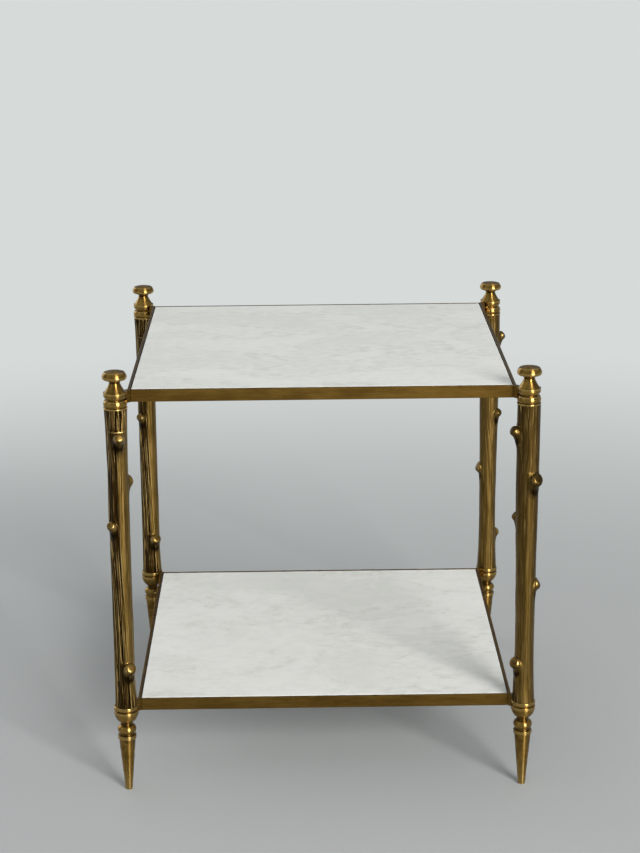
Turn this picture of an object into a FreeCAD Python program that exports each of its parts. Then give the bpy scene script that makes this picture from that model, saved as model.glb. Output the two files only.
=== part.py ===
import FreeCAD, Part
import math
import os

# Two-tier side table in brass and marble, in millimetres.
# +Z is up, the floor is z = 0, the origin lies midway between the four feet, and -Y is the front.

# Plan: leg axis to leg axis, from left to right and from front to back
leg_spacing_x = 440.0
leg_spacing_y = 440.0

# Frames: an angle section, lip outside and ledge below, with the marble lying on the ledge
lip_thickness = 3.0
ledge_width = 13.0
ledge_thickness = 3.0
marble_thickness = 10.5
marble_gap = 1.0
marble_arris = 0.8

# Corner lugs: a bar from the frame's cut corner towards the leg, then a thin eye in the leg's stack
lug_length = 6.0
lug_width = 5.6
lug_clearance = 0.3
eye_diameter = 18.0
eye_thickness = 2.0

# Studs that hold finial, lug, collar, leg, collar, lug and foot together
stud_diameter = 6.0
stud_in_finial = 9.0
stud_in_leg = 12.0
stud_in_foot = 12.0
screw_clearance = 0.05
free_clearance = 0.2
hole_end_clearance = 0.5

# Foot, from the floor up
foot_tip_diameter = 8.0
foot_tip_break = 0.6
foot_taper_height = 62.0
foot_taper_diameter = 18.4
foot_ring_diameter = 20.4
foot_ring_height = 4.0
foot_groove_diameter = 17.6
foot_groove_height = 3.0
foot_bead_diameter = 20.8
foot_bead_height = 9.0
foot_neck_diameter = 13.0
foot_neck_height = 3.0
foot_cup_height = 10.0
foot_cup_sag = 2.0
foot_rim_diameter = 27.0
foot_rim_height = 4.0

# Collars below and above the leg; the lower one is flush with the foot's rim, less a small inset
bottom_collar_inset = 0.1
bottom_collar_height = 4.0
top_collar_diameter = 25.8
top_collar_height = 7.5
top_collar_draw = 1.3
top_bead_diameter = 26.0
top_bead_height = 2.0
top_bead_sag = 0.7
edge_break = 0.4

# Finial, from its base up; its base is flush with the top collar, less a small inset
finial_base_inset = 0.4
finial_base_height = 6.6
finial_base_draw = 1.9
finial_base_round = 4.0
finial_base_sag = 0.5
finial_base_step = 0.9
finial_cone_height = 10.4
finial_cone_sag = 0.5
finial_neck_diameter = 11.5
finial_under_height = 3.4
finial_under_sag = 0.9
finial_under_diameter = 22.0
finial_side_height = 3.6
finial_side_sag = 0.9
finial_cap_diameter = 26.7
finial_shoulder_height = 4.6
finial_shoulder_sag = 0.35
finial_edge_diameter = 21.8
finial_dome_height = 1.4

# Leg: a cast twig, oval and tapering, given as shares of its length with the width and the depth
leg_length = 340.0
twig_stations = (
    (0.00, 24.6, 24.6),
    (0.08, 22.2, 22.0),
    (0.20, 22.5, 20.8),
    (0.34, 22.0, 20.8),
    (0.50, 22.1, 23.0),
    (0.67, 22.8, 24.3),
    (0.84, 22.5, 25.1),
    (0.94, 23.8, 25.4),
    (1.00, 25.2, 25.4),
)

# Bark: furrows that run down the twig and wander a little, deep on one side and faint on the other.
# A furrow's depth is a share of the narrower of the two ridges beside it.
furrow_count = 13
furrow_depth_share = 0.30
faint_depth_share = 0.05
deep_side_bearing = -50.0
deep_side_focus = 2.0
furrow_fading = 0.25
furrow_wander = 9.0
furrow_crowding = 6.0
crowded_places = 3

# Buds: share of the leg's length, bearing from the front towards +X, ball diameter, reach off the bark
buds = (
    (0.913, 15.0, 14.0, 7.8),
    (0.756, 141.0, 16.4, 7.2),
    (0.622, -35.0, 13.4, 6.8),
    (0.402, 180.0, 16.4, 5.8),
    (0.135, 31.0, 14.8, 6.2),
)
bud_lean = 45.0
bud_stem_length = 14.0
bud_stem_flare = 2.6
bud_neck_inset = 0.4
bud_stem_sag = 1.4

# The same casting stands at each corner, turned to another bearing
leg_turns = {
    "front_left": 0.0,
    "front_right": -97.0,
    "back_left": 0.0,
    "back_right": 91.0,
}
corner_signs = {
    "front_left": (-1, -1),
    "front_right": (1, -1),
    "back_left": (-1, 1),
    "back_right": (1, 1),
}

# Heights worked out from the sizes above
foot_height = (
    foot_taper_height + foot_ring_height + foot_groove_height + foot_bead_height
    + foot_neck_height + foot_cup_height + foot_rim_height
)
lower_eye_z = foot_height
bottom_collar_z = lower_eye_z + eye_thickness
leg_z = bottom_collar_z + bottom_collar_height
top_collar_z = leg_z + leg_length
top_collar_total = top_bead_height + top_collar_height
upper_eye_z = top_collar_z + top_collar_total
finial_z = upper_eye_z + eye_thickness
finial_height = (
    finial_base_height + finial_cone_height + finial_under_height + finial_side_height
    + finial_shoulder_height + finial_dome_height
)
rail_height = ledge_thickness + marble_thickness
rail_drop = (rail_height - eye_thickness) / 2

# Plan sizes worked out from the sizes above: the frames stay inside the leg axes by the lugs' reach
bottom_collar_diameter = foot_rim_diameter - 2 * bottom_collar_inset
finial_base_diameter = top_collar_diameter - 2 * finial_base_inset
stack_diameter = max(
    foot_rim_diameter, bottom_collar_diameter, top_collar_diameter, top_bead_diameter,
    finial_base_diameter,
)
lug_bar_start = stack_diameter / 2 + lug_clearance
corner_cut = lug_width / math.sqrt(2)
frame_inset = (lug_bar_start + lug_length - lug_width / 2) / math.sqrt(2)
frame_half_x = leg_spacing_x / 2 - frame_inset
frame_half_y = leg_spacing_y / 2 - frame_inset
screw_hole_radius = stud_diameter / 2 + screw_clearance
free_hole_radius = stud_diameter / 2 + free_clearance

up = FreeCAD.Vector(0, 0, 1)
origin = FreeCAD.Vector(0, 0, 0)


def moved(shape, x, y, z):
    """Return a copy of shape shifted by x, y and z."""
    copy = shape.copy()
    copy.translate(FreeCAD.Vector(x, y, z))
    return copy


def turned(shape, degrees):
    """Return a copy of shape turned about the vertical axis."""
    copy = shape.copy()
    copy.rotate(origin, up, degrees)
    return copy


class Lathe:
    """Half outline of a turned piece, drawn from the axis outwards, upwards and back to the axis."""

    def __init__(self, radius, z):
        self.edges = []
        self.at = FreeCAD.Vector(0, 0, z)
        self.first = self.at
        self.line(radius, z)

    def line(self, radius, z):
        """Straight run to a radius and a height."""
        end = FreeCAD.Vector(radius, 0, z)
        self.edges.append(Part.LineSegment(self.at, end).toShape())
        self.at = end

    def arc(self, radius, z, sag):
        """Arc to a radius and a height that bulges outwards by sag, or inwards where sag is negative."""
        end = FreeCAD.Vector(radius, 0, z)
        run = end - self.at
        side = FreeCAD.Vector(run.z, 0, -run.x).normalize()
        middle = (self.at + end) / 2 + side * sag
        self.edges.append(Part.Arc(self.at, middle, end).toShape())
        self.at = end

    def dome(self, z):
        """Arc to the axis at a height, on a sphere centred on the axis."""
        rise = z - self.at.z
        radius = (self.at.x ** 2 + rise ** 2) / (2 * rise)
        centre_z = z - radius
        half_angle = math.atan2(self.at.x, self.at.z - centre_z) / 2
        middle_z = centre_z + radius * math.cos(half_angle)
        middle = FreeCAD.Vector(radius * math.sin(half_angle), 0, middle_z)
        end = FreeCAD.Vector(0, 0, z)
        self.edges.append(Part.Arc(self.at, middle, end).toShape())
        self.at = end

    def solid(self):
        """Close the outline along the axis and spin it."""
        if self.at.x > 0:
            self.line(0, self.at.z)
        self.edges.append(Part.LineSegment(self.at, self.first).toShape())
        return Part.Face(Part.Wire(self.edges)).revolve(origin, up, 360)


def make_foot():
    """Turned foot: taper, ring, groove, bead, neck, cup and rim, with a blind hole for its stud."""
    taper_radius = foot_taper_diameter / 2
    ring_radius = foot_ring_diameter / 2
    groove_radius = foot_groove_diameter / 2
    neck_radius = foot_neck_diameter / 2
    rim_radius = foot_rim_diameter / 2
    bead_sag = (foot_bead_diameter - foot_groove_diameter) / 2
    outline = Lathe(foot_tip_diameter / 2 - foot_tip_break, 0)
    outline.line(foot_tip_diameter / 2, foot_tip_break)
    z = foot_taper_height
    outline.line(taper_radius, z)
    outline.line(ring_radius, z + edge_break)
    z += foot_ring_height
    outline.line(ring_radius, z - edge_break)
    outline.line(groove_radius, z)
    z += foot_groove_height
    outline.line(groove_radius, z)
    z += foot_bead_height
    outline.arc(neck_radius, z, bead_sag + (groove_radius - neck_radius) / 2)
    z += foot_neck_height
    outline.line(neck_radius, z)
    z += foot_cup_height
    outline.arc(rim_radius - edge_break, z, foot_cup_sag)
    outline.line(rim_radius, z + edge_break)
    z += foot_rim_height
    outline.line(rim_radius, z - edge_break)
    outline.line(rim_radius - edge_break, z)
    depth = stud_in_foot + hole_end_clearance
    hole = Part.makeCylinder(screw_hole_radius, depth, FreeCAD.Vector(0, 0, z - depth))
    return outline.solid().cut(hole)


def make_finial():
    """Turned finial: base ring, conical waist and a mushroom cap, with a blind hole for its stud."""
    base_radius = finial_base_diameter / 2
    outline = Lathe(base_radius - finial_base_draw, 0)
    outline.arc(base_radius, finial_base_round, finial_base_sag)
    z = finial_base_height
    outline.line(base_radius, z - edge_break)
    outline.line(base_radius - edge_break, z)
    outline.line(base_radius - finial_base_step, z)
    z += finial_cone_height
    outline.arc(finial_neck_diameter / 2, z, -finial_cone_sag)
    z += finial_under_height
    outline.arc(finial_under_diameter / 2, z, -finial_under_sag)
    z += finial_side_height
    outline.arc(finial_cap_diameter / 2, z, finial_side_sag)
    z += finial_shoulder_height
    outline.arc(finial_edge_diameter / 2, z, finial_shoulder_sag)
    z += finial_dome_height
    outline.dome(z)
    hole = Part.makeCylinder(screw_hole_radius, stud_in_finial + hole_end_clearance)
    return outline.solid().cut(hole)


def make_bottom_collar():
    """Thin turned ring under the leg."""
    radius = bottom_collar_diameter / 2
    outline = Lathe(radius - edge_break, 0)
    outline.line(radius, edge_break)
    outline.line(radius, bottom_collar_height - edge_break)
    outline.line(radius - edge_break, bottom_collar_height)
    return outline.solid().cut(Part.makeCylinder(free_hole_radius, bottom_collar_height))


def make_top_collar():
    """Turned collar on the leg: a bead below a barrel that draws in at both ends."""
    bead_radius = top_bead_diameter / 2 - top_bead_sag
    end_radius = top_collar_diameter / 2 - top_collar_draw
    outline = Lathe(bead_radius, 0)
    outline.arc(bead_radius, top_bead_height, top_bead_sag)
    outline.line(end_radius, top_bead_height)
    outline.arc(end_radius, top_collar_total, top_collar_draw)
    return outline.solid().cut(Part.makeCylinder(free_hole_radius, top_collar_total))


def furrow_bearing(index, share):
    """Bearing of one furrow, in radians: unevenly spaced, and wandering along the twig."""
    even = 2 * math.pi * index / furrow_count
    wander = furrow_wander * math.sin(2 * math.pi * share + math.sin(even))
    crowding = furrow_crowding * math.sin(crowded_places * even)
    return even + math.radians(wander + crowding)


def furrow_depth(index, share, radius):
    """Depth of one furrow: deepest on one side of the twig, and swelling and fading along it."""
    bearing = furrow_bearing(index, share)
    ridge_before = bearing - furrow_bearing(index - 1, share)
    ridge_after = furrow_bearing(index + 1, share) - bearing
    toward_deep = 0.5 + 0.5 * math.cos(bearing - math.radians(deep_side_bearing))
    focus = toward_deep ** deep_side_focus
    depth_share = faint_depth_share + (furrow_depth_share - faint_depth_share) * focus
    fading = furrow_fading * math.sin(2 * math.pi * share + index)
    return radius * min(ridge_before, ridge_after) * depth_share * (1 + fading)


def twig_section(share, width, depth):
    """Closed bark outline of the twig at one station: a round ridge from each furrow to the next."""
    def on_bark(bearing, sunk):
        across = math.sin(bearing)
        along = -math.cos(bearing)
        radius = 1 / math.hypot(2 * across / width, 2 * along / depth) - sunk
        return FreeCAD.Vector(radius * across, radius * along, share * leg_length)

    mean_radius = (width + depth) / 4
    bearings = [furrow_bearing(index, share) for index in range(furrow_count + 1)]
    furrows = []
    for index in range(furrow_count):
        furrows.append(on_bark(bearings[index], furrow_depth(index, share, mean_radius)))
    furrows.append(furrows[0])
    ridges = [on_bark((low + high) / 2, 0) for low, high in zip(bearings, bearings[1:])]
    arcs = [Part.Arc(*points).toShape() for points in zip(furrows, ridges, furrows[1:])]
    return Part.Wire(arcs)


def twig_radius(share):
    """Mean radius of the twig at a share of its length, between the two nearest stations."""
    for low, high in zip(twig_stations, twig_stations[1:]):
        if low[0] <= share <= high[0]:
            part = (share - low[0]) / (high[0] - low[0])
            low_mean = (low[1] + low[2]) / 4
            high_mean = (high[1] + high[2]) / 4
            return low_mean + part * (high_mean - low_mean)
    raise ValueError("share lies off the leg")


def make_bud(share, bearing, ball_diameter, reach):
    """Bud: a ball on a flared stem that leans up and out of the twig."""
    ball_radius = ball_diameter / 2
    neck_radius = ball_radius - bud_neck_inset
    neck_drop = math.sqrt(ball_radius ** 2 - neck_radius ** 2)
    outline = Lathe(ball_radius + bud_stem_flare, -bud_stem_length)
    outline.arc(neck_radius, -neck_drop, -bud_stem_sag)
    outline.dome(ball_radius)
    bud = outline.solid()
    bud.rotate(origin, FreeCAD.Vector(1, 0, 0), bud_lean)
    off_axis = twig_radius(share) + reach - ball_radius
    return turned(moved(bud, 0, -off_axis, share * leg_length), bearing)


def make_leg():
    """Cast twig leg: a loft through the bark outlines with its buds, and a blind hole at each end."""
    sections = [twig_section(*station) for station in twig_stations]
    leg = Part.makeLoft(sections, True, True)
    leg = leg.fuse([make_bud(*bud) for bud in buds])
    depth = stud_in_leg + hole_end_clearance
    lower_hole = Part.makeCylinder(screw_hole_radius, depth)
    upper_hole = moved(lower_hole, 0, 0, leg_length - depth)
    return leg.cut([lower_hole, upper_hole])


def prism(corners, height):
    """Upright prism on a closed outline of x and y corners."""
    points = [FreeCAD.Vector(x, y, 0) for x, y in corners]
    return Part.Face(Part.makePolygon(points + points[:1])).extrude(up * height)


def mitred_strip(half_run, half_across, width, height):
    """Strip along the front side of a rectangle, mitred at both ends."""
    return prism([
        (-half_run, -half_across),
        (half_run, -half_across),
        (half_run - width, width - half_across),
        (width - half_run, width - half_across),
    ], height)


def make_rail(half_run, half_across):
    """Angle rail along the front: the lip outside and the ledge below, with the frame's corners cut off."""
    lip = mitred_strip(half_run, half_across, lip_thickness, rail_height)
    ledge = mitred_strip(half_run, half_across, ledge_width, ledge_thickness)
    cut_square = prism([
        (corner_cut - half_run, -half_across),
        (half_run - corner_cut, -half_across),
        (half_run, corner_cut - half_across),
        (half_run, 0),
        (-half_run, 0),
        (-half_run, corner_cut - half_across),
    ], rail_height)
    return lip.fuse(ledge).common(cut_square).removeSplitter()


def make_lug():
    """Corner lug with its eye on the z axis, its bar along +X and its underside at z = 0."""
    bar = Part.makeBox(
        lug_length, lug_width, rail_height,
        FreeCAD.Vector(lug_bar_start, -lug_width / 2, 0),
    )
    tongue = Part.makeBox(
        lug_bar_start, lug_width, eye_thickness,
        FreeCAD.Vector(0, -lug_width / 2, rail_drop),
    )
    eye = moved(Part.makeCylinder(eye_diameter / 2, eye_thickness), 0, 0, rail_drop)
    hole = moved(Part.makeCylinder(free_hole_radius, eye_thickness), 0, 0, rail_drop)
    return bar.fuse([tongue, eye]).removeSplitter().cut(hole)


def make_marble():
    """Marble slab with its top edges eased, its underside at z = 0."""
    size_x = 2 * (frame_half_x - lip_thickness - marble_gap)
    size_y = 2 * (frame_half_y - lip_thickness - marble_gap)
    slab = Part.makeBox(
        size_x, size_y, marble_thickness, FreeCAD.Vector(-size_x / 2, -size_y / 2, 0)
    )
    top = max(slab.Faces, key=lambda face: face.CenterOfMass.z)
    return slab.makeChamfer(marble_arris, top.Edges)


def make_stud(below, between, above):
    """Plain rod with its middle stretch starting at z = 0."""
    return moved(Part.makeCylinder(stud_diameter / 2, below + between + above), 0, 0, -below)


def corner_stacks():
    """Return the turned pieces, studs, legs and lugs of all four corners by name."""
    foot = make_foot()
    bottom_collar = make_bottom_collar()
    leg = make_leg()
    top_collar = make_top_collar()
    finial = make_finial()
    foot_stud = make_stud(stud_in_foot, eye_thickness + bottom_collar_height, stud_in_leg)
    finial_stud = make_stud(stud_in_leg, top_collar_total + eye_thickness, stud_in_finial)
    lug = make_lug()
    pieces = {}
    for corner, (side_x, side_y) in corner_signs.items():
        x = side_x * leg_spacing_x / 2
        y = side_y * leg_spacing_y / 2
        inward = math.degrees(math.atan2(-side_y, -side_x))
        corner_lug = turned(lug, inward)
        pieces["foot_" + corner] = moved(foot, x, y, 0)
        pieces["foot_stud_" + corner] = moved(foot_stud, x, y, lower_eye_z)
        pieces["lower_lug_" + corner] = moved(corner_lug, x, y, lower_eye_z - rail_drop)
        pieces["bottom_collar_" + corner] = moved(bottom_collar, x, y, bottom_collar_z)
        pieces["leg_" + corner] = moved(turned(leg, leg_turns[corner]), x, y, leg_z)
        pieces["top_collar_" + corner] = moved(top_collar, x, y, top_collar_z)
        pieces["finial_stud_" + corner] = moved(finial_stud, x, y, top_collar_z)
        pieces["upper_lug_" + corner] = moved(corner_lug, x, y, upper_eye_z - rail_drop)
        pieces["finial_" + corner] = moved(finial, x, y, finial_z)
    return pieces


def shelves():
    """Return the rails and marble of both shelves by name."""
    long_rail = make_rail(frame_half_x, frame_half_y)
    side_rail = make_rail(frame_half_y, frame_half_x)
    rails = {
        "front": long_rail,
        "right": turned(side_rail, 90),
        "back": turned(long_rail, 180),
        "left": turned(side_rail, 270),
    }
    marble = make_marble()
    pieces = {}
    for tier, eye_z in (("lower", lower_eye_z), ("upper", upper_eye_z)):
        rail_z = eye_z - rail_drop
        for side, rail in rails.items():
            pieces[tier + "_rail_" + side] = moved(rail, 0, 0, rail_z)
        pieces[tier + "_marble"] = moved(marble, 0, 0, rail_z + ledge_thickness)
    return pieces


def main():
    """Build every piece and write one file for each."""
    os.makedirs("parts", exist_ok=True)
    pieces = corner_stacks()
    pieces.update(shelves())
    for name, shape in pieces.items():
        if len(shape.Solids) != 1 or not shape.isValid():
            raise RuntimeError(name + " is not one valid solid")
        shape.Solids[0].exportStep("parts/" + name + ".step")
    print(len(pieces), "pieces,", round(finial_z + finial_height, 1), "mm high")


main()
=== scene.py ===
"""Two-tier side table: brass twig legs, turned fittings and angle frames, with marble shelves."""
import logging
import math
from dataclasses import dataclass, field
from enum import Enum
from typing import Any, Callable, ClassVar, Sequence, Union

import bmesh
import bpy
import numpy as np
from mathutils import Matrix, Vector


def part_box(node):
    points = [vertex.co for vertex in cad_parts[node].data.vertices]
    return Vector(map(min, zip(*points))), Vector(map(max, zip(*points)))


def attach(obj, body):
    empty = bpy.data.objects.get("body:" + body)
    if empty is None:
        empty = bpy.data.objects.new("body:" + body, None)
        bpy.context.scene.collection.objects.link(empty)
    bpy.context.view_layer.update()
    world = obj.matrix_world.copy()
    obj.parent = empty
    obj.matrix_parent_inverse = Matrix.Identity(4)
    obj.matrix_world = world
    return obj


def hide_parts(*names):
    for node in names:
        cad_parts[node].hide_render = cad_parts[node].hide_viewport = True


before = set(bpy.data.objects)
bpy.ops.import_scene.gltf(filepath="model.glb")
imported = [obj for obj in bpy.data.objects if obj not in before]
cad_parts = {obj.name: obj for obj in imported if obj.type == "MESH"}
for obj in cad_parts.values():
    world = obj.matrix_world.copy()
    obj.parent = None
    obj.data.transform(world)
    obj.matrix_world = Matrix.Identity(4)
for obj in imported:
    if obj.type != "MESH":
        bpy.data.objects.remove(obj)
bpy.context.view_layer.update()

LOG = logging.getLogger("side_table")
MM = 0.001
# Edges that turn by more than this stay sharp in the shading, in degrees.
SHARP_ANGLE = 38.0
# A face looks along an axis where its normal's share of that axis is over this.
FACING = 0.9
# Points no further apart than this lie at one height, in millimetres.
LEVEL = 0.001
Colour = tuple[float, float, float]
Grain = tuple[float, float, float]


class Corner(Enum):
    """The table's four corners, seen from the front."""

    FRONT_LEFT = "front_left"
    FRONT_RIGHT = "front_right"
    BACK_LEFT = "back_left"
    BACK_RIGHT = "back_right"

    def axis(self) -> Vector:
        """Return the point on the floor under this corner's stack."""
        low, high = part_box("foot_" + self.value)
        return Vector(((low.x + high.x) / 2, (low.y + high.y) / 2, low.z))

    def inward(self) -> float:
        """Return the angle about +Z that points from this corner to the table's middle."""
        axis = self.axis()
        return math.atan2(-axis.y, -axis.x)

    def stand(self, node: str) -> Matrix:
        """Return the move from the origin to this corner's stack.

        Args:
            node: The CAD node whose underside gives the height.

        Returns:
            The move.
        """
        place = self.axis()
        place.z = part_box(node)[0].z
        return Matrix.Translation(place)


class Tier(Enum):
    """The two shelves."""

    LOWER = "lower"
    UPPER = "upper"


class Side(Enum):
    """A frame's four rails, with the quarter turns from the front rail to each."""

    FRONT = ("front", 0)
    RIGHT = ("right", 1)
    BACK = ("back", 2)
    LEFT = ("left", 3)


class Slot(Enum):
    """The material slots."""

    CAST = "cast_brass"
    TURNED = "turned_brass"
    FRAME = "frame_brass"
    STUD = "stud_brass"
    MARBLE = "marble"


class Draw(Enum):
    """The twig's random patterns, with the seed that picks each."""

    COARSE_GRAIN = 11
    FINE_GRAIN = 12
    LUMPS = 13
    FLATS = 14
    FURROWS = 20
    THREADS = 40


def seen(red: int, green: int, blue: int) -> Colour:
    """Bring a colour as it looks on screen into the renderer's linear light.

    Args:
        red: Red, from 0 to 255.
        green: Green, from 0 to 255.
        blue: Blue, from 0 to 255.

    Returns:
        The colour in linear light.
    """
    def linear(level: int) -> float:
        """Undo the screen's curve for one channel."""
        share = level / 255
        return share / 12.92 if share <= 0.04045 else ((share + 0.055) / 1.055) ** 2.4

    return linear(red), linear(green), linear(blue)


class Field:
    """A shader value that takes part in Python arithmetic: each operation adds a Math node."""

    def __init__(self, paint: "Paint", socket: bpy.types.NodeSocket) -> None:
        """Wrap one output socket of a node tree."""
        self.paint = paint
        self.socket = socket

    def _math(self, operation: str, first: "Amount", second: "Amount") -> "Field":
        """Add one Math node.

        Args:
            operation: The Math node's operation.
            first: Left-hand value.
            second: Right-hand value.

        Returns:
            The node's result.
        """
        made = self.paint.node("ShaderNodeMath", {"operation": operation}, {0: first, 1: second})
        return Field(self.paint, made.outputs[0])

    def __add__(self, other: "Amount") -> "Field":
        """Sum."""
        return self._math("ADD", self, other)

    def __radd__(self, other: "Amount") -> "Field":
        """Sum with a number on the left."""
        return self._math("ADD", other, self)

    def __sub__(self, other: "Amount") -> "Field":
        """Difference."""
        return self._math("SUBTRACT", self, other)

    def __rsub__(self, other: "Amount") -> "Field":
        """Difference with a number on the left."""
        return self._math("SUBTRACT", other, self)

    def __mul__(self, other: "Amount") -> "Field":
        """Product."""
        return self._math("MULTIPLY", self, other)

    def __rmul__(self, other: "Amount") -> "Field":
        """Product with a number on the left."""
        return self._math("MULTIPLY", other, self)

    def __abs__(self) -> "Field":
        """Size without sign."""
        return self._math("ABSOLUTE", self, 0.0)

    def between(self, low: float, high: float) -> "Field":
        """Return 0 below low and 1 above high, with a soft step from one to the other."""
        made = self.paint.node(
            "ShaderNodeMapRange",
            {"interpolation_type": "SMOOTHSTEP"},
            {"Value": self, "From Min": low, "From Max": high},
        )
        return Field(self.paint, made.outputs[0])


Amount = Union[Field, float]


class Paint:
    """A node tree being drawn up, for a material or for the world."""

    def __init__(self, owner: Union[bpy.types.Material, bpy.types.World]) -> None:
        """Start the owner's tree afresh."""
        owner.use_nodes = True
        self.tree = owner.node_tree
        self.tree.nodes.clear()

    def node(self, kind: str, settings: dict[str, Any], sockets: dict[Any, Any]) -> bpy.types.Node:
        """Add one node.

        Args:
            kind: The node's type name.
            settings: The node's own settings, which are set first.
            sockets: Values or links for its inputs, by name or number.

        Returns:
            The new node.
        """
        made = self.tree.nodes.new(kind)
        for name, setting in settings.items():
            setattr(made, name, setting)
        for key, value in sockets.items():
            target = made.inputs[key]
            if isinstance(value, Field):
                self.tree.links.new(value.socket, target)
            elif isinstance(value, bpy.types.NodeSocket):
                self.tree.links.new(value, target)
            elif target.type == "RGBA" and len(value) == 3:
                target.default_value = (*value, 1.0)
            else:
                target.default_value = value
        return made

    def point(self, grain: Sequence[float], shift: Sequence[float] = (0, 0, 0)) -> bpy.types.NodeSocket:
        """Return the place on the piece, counted in grains.

        Args:
            grain: One grain's size along x, y and z, in millimetres.
            shift: What is added to the count.

        Returns:
            A vector socket.
        """
        place = self.node("ShaderNodeTexCoord", {}, {})
        counted = self.node(
            "ShaderNodeMapping", {},
            {"Vector": place.outputs["Object"], "Location": shift,
             "Scale": [1 / (MM * size) for size in grain]},
        )
        return counted.outputs[0]

    def noise(self, grain: Sequence[float], detail: float = 2.0, rough: float = 0.5,
              swirl: float = 0.0) -> Field:
        """Return cloudy noise from 0 to 1.

        Args:
            grain: Size of one cloud along x, y and z, in millimetres.
            detail: Number of finer layers.
            rough: Share that each finer layer keeps.
            swirl: How far the clouds are pulled about.

        Returns:
            The noise.
        """
        made = self.node(
            "ShaderNodeTexNoise", {},
            {"Vector": self.point(grain), "Scale": 1.0, "Detail": detail, "Roughness": rough,
             "Distortion": swirl},
        )
        return Field(self, made.outputs[0])

    def cells(self, grain: float) -> Field:
        """Return the distance to the nearest of random points about a grain apart, in grains."""
        made = self.node(
            "ShaderNodeTexVoronoi", {"feature": "F1"},
            {"Vector": self.point((grain, grain, grain)), "Scale": 1.0},
        )
        return Field(self, made.outputs["Distance"])

    def mark(self, name: str) -> Field:
        """Return a value that the piece's mesh carries."""
        made = self.node("ShaderNodeAttribute", {"attribute_name": name}, {})
        return Field(self, made.outputs["Fac"])

    def blend(self, share: Amount, first: Any, second: Any) -> bpy.types.NodeSocket:
        """Blend two colours.

        Args:
            share: 0 for the first, 1 for the second.
            first: A colour or a colour socket.
            second: A colour or a colour socket.

        Returns:
            The blended colour.
        """
        made = self.node(
            "ShaderNodeMix", {"data_type": "RGBA", "clamp_factor": True}, {0: share, 6: first, 7: second}
        )
        return made.outputs[2]

    def bump(self, height: Field, depth: float, strength: float) -> bpy.types.NodeSocket:
        """Return normals for a height from 0 to 1 that is depth millimetres deep."""
        made = self.node(
            "ShaderNodeBump", {}, {"Height": height, "Distance": depth * MM, "Strength": strength}
        )
        return made.outputs[0]

    def surface(self, sockets: dict[str, Any]) -> None:
        """Close the material with a principled surface."""
        body = self.node("ShaderNodeBsdfPrincipled", {}, sockets)
        self.node("ShaderNodeOutputMaterial", {}, {"Surface": body.outputs[0]})


@dataclass(frozen=True)
class Finish:
    """A procedural finish for one of the material slots. Grains are in millimetres."""

    slot: ClassVar[Slot]

    def sockets(self, paint: Paint) -> dict[str, Any]:
        """Draw up the finish.

        Args:
            paint: The material's node tree.

        Returns:
            What feeds the sockets of its principled surface.
        """
        raise NotImplementedError

    def material(self) -> bpy.types.Material:
        """Make the finish into a material.

        Returns:
            The material.
        """
        made = bpy.data.materials.new(self.slot.value)
        paint = Paint(made)
        paint.surface(self.sockets(paint))
        return made


@dataclass(frozen=True)
class CastBrass(Finish):
    """Old cast brass: brown in the bark, olive gold on the smooth side, bright where it is rubbed;
    painted shade darkens some legs and the buds' necks and undersides, and a painted highlight lightens
    the buds' rims.
    """

    slot: ClassVar[Slot] = Slot.CAST
    rubbed: Colour = seen(186, 156, 98)
    flank: Colour = seen(134, 108, 58)
    shade: Colour = seen(86, 65, 25)
    patina: Colour = seen(38, 23, 6)
    sunk: Colour = seen(20, 11, 4)
    streak_grain: Grain = (1.6, 1.6, 34.0)
    brush_grain: Grain = (3.0, 3.0, 60.0)
    cloud_grain: Grain = (14.0, 14.0, 40.0)
    grit_grain: Grain = (0.7, 0.7, 1.1)
    scratch_grain: Grain = (0.9, 0.9, 30.0)
    patina_cover: float = 0.92
    scratch_cover: float = 0.35
    roughness: float = 0.41
    relief: float = 0.16

    def sockets(self, paint: Paint) -> dict[str, Any]:
        """Draw up the brass from the bark's recess, wear, furrowed side and buds, whose marks also carry
        painted shade and a painted highlight.

        Args:
            paint: The material's node tree.

        Returns:
            What feeds the sockets of its principled surface.
        """
        streak = paint.noise(self.streak_grain, detail=3.0, rough=0.55)
        brush = paint.noise(self.brush_grain, detail=3.0, rough=0.6)
        cloud = paint.noise(self.cloud_grain, detail=2.0)
        grit = paint.noise(self.grit_grain, detail=3.0, rough=0.6)
        scratch = paint.noise(self.scratch_grain, detail=2.0, rough=0.5).between(0.55, 0.72)
        recess, wear, bark, bud = (paint.mark(name) for name in ("recess", "wear", "bark", "bud"))
        tone = (0.35 * streak + 0.40 * brush + 0.25 * cloud).between(0.36, 0.64)
        # Patina on the furrowed side, and the painted shade of whole legs, from the bark mark.
        patina_and_shade = (bark + 0.5 * (cloud - 0.5)).between(0.1, 1.1)
        # Patina sunk in the furrows, and painted shade round the buds' necks and under them, from the
        # recess mark.
        dark = (recess + 0.30 * (grit - 0.5) + 0.25 * (streak - 0.5)).between(0.12, 0.85)
        # Rubbed wear, and a painted highlight on the buds' rims, from the wear mark.
        bright = (wear - 0.32 * patina_and_shade + 0.55 * (streak - 0.5) + 0.2 * (grit - 0.5)).between(0.28, 0.85)
        colour = paint.blend(tone, self.shade, self.flank)
        colour = paint.blend(self.patina_cover * patina_and_shade, colour, self.patina)
        colour = paint.blend(self.scratch_cover * scratch, colour, self.rubbed)
        colour = paint.blend(bright, colour, self.rubbed)
        colour = paint.blend(dark, colour, self.sunk)
        rough = self.roughness + 0.12 * dark - 0.08 * bright - 0.06 * bud - 0.08 * scratch
        rough = rough + 0.14 * (grit - 0.5)
        height = 0.6 * streak + 0.4 * grit
        return {
            "Base Color": colour, "Metallic": 1.0, "Roughness": rough,
            "Normal": paint.bump(height, self.relief, 0.6),
        }


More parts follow.
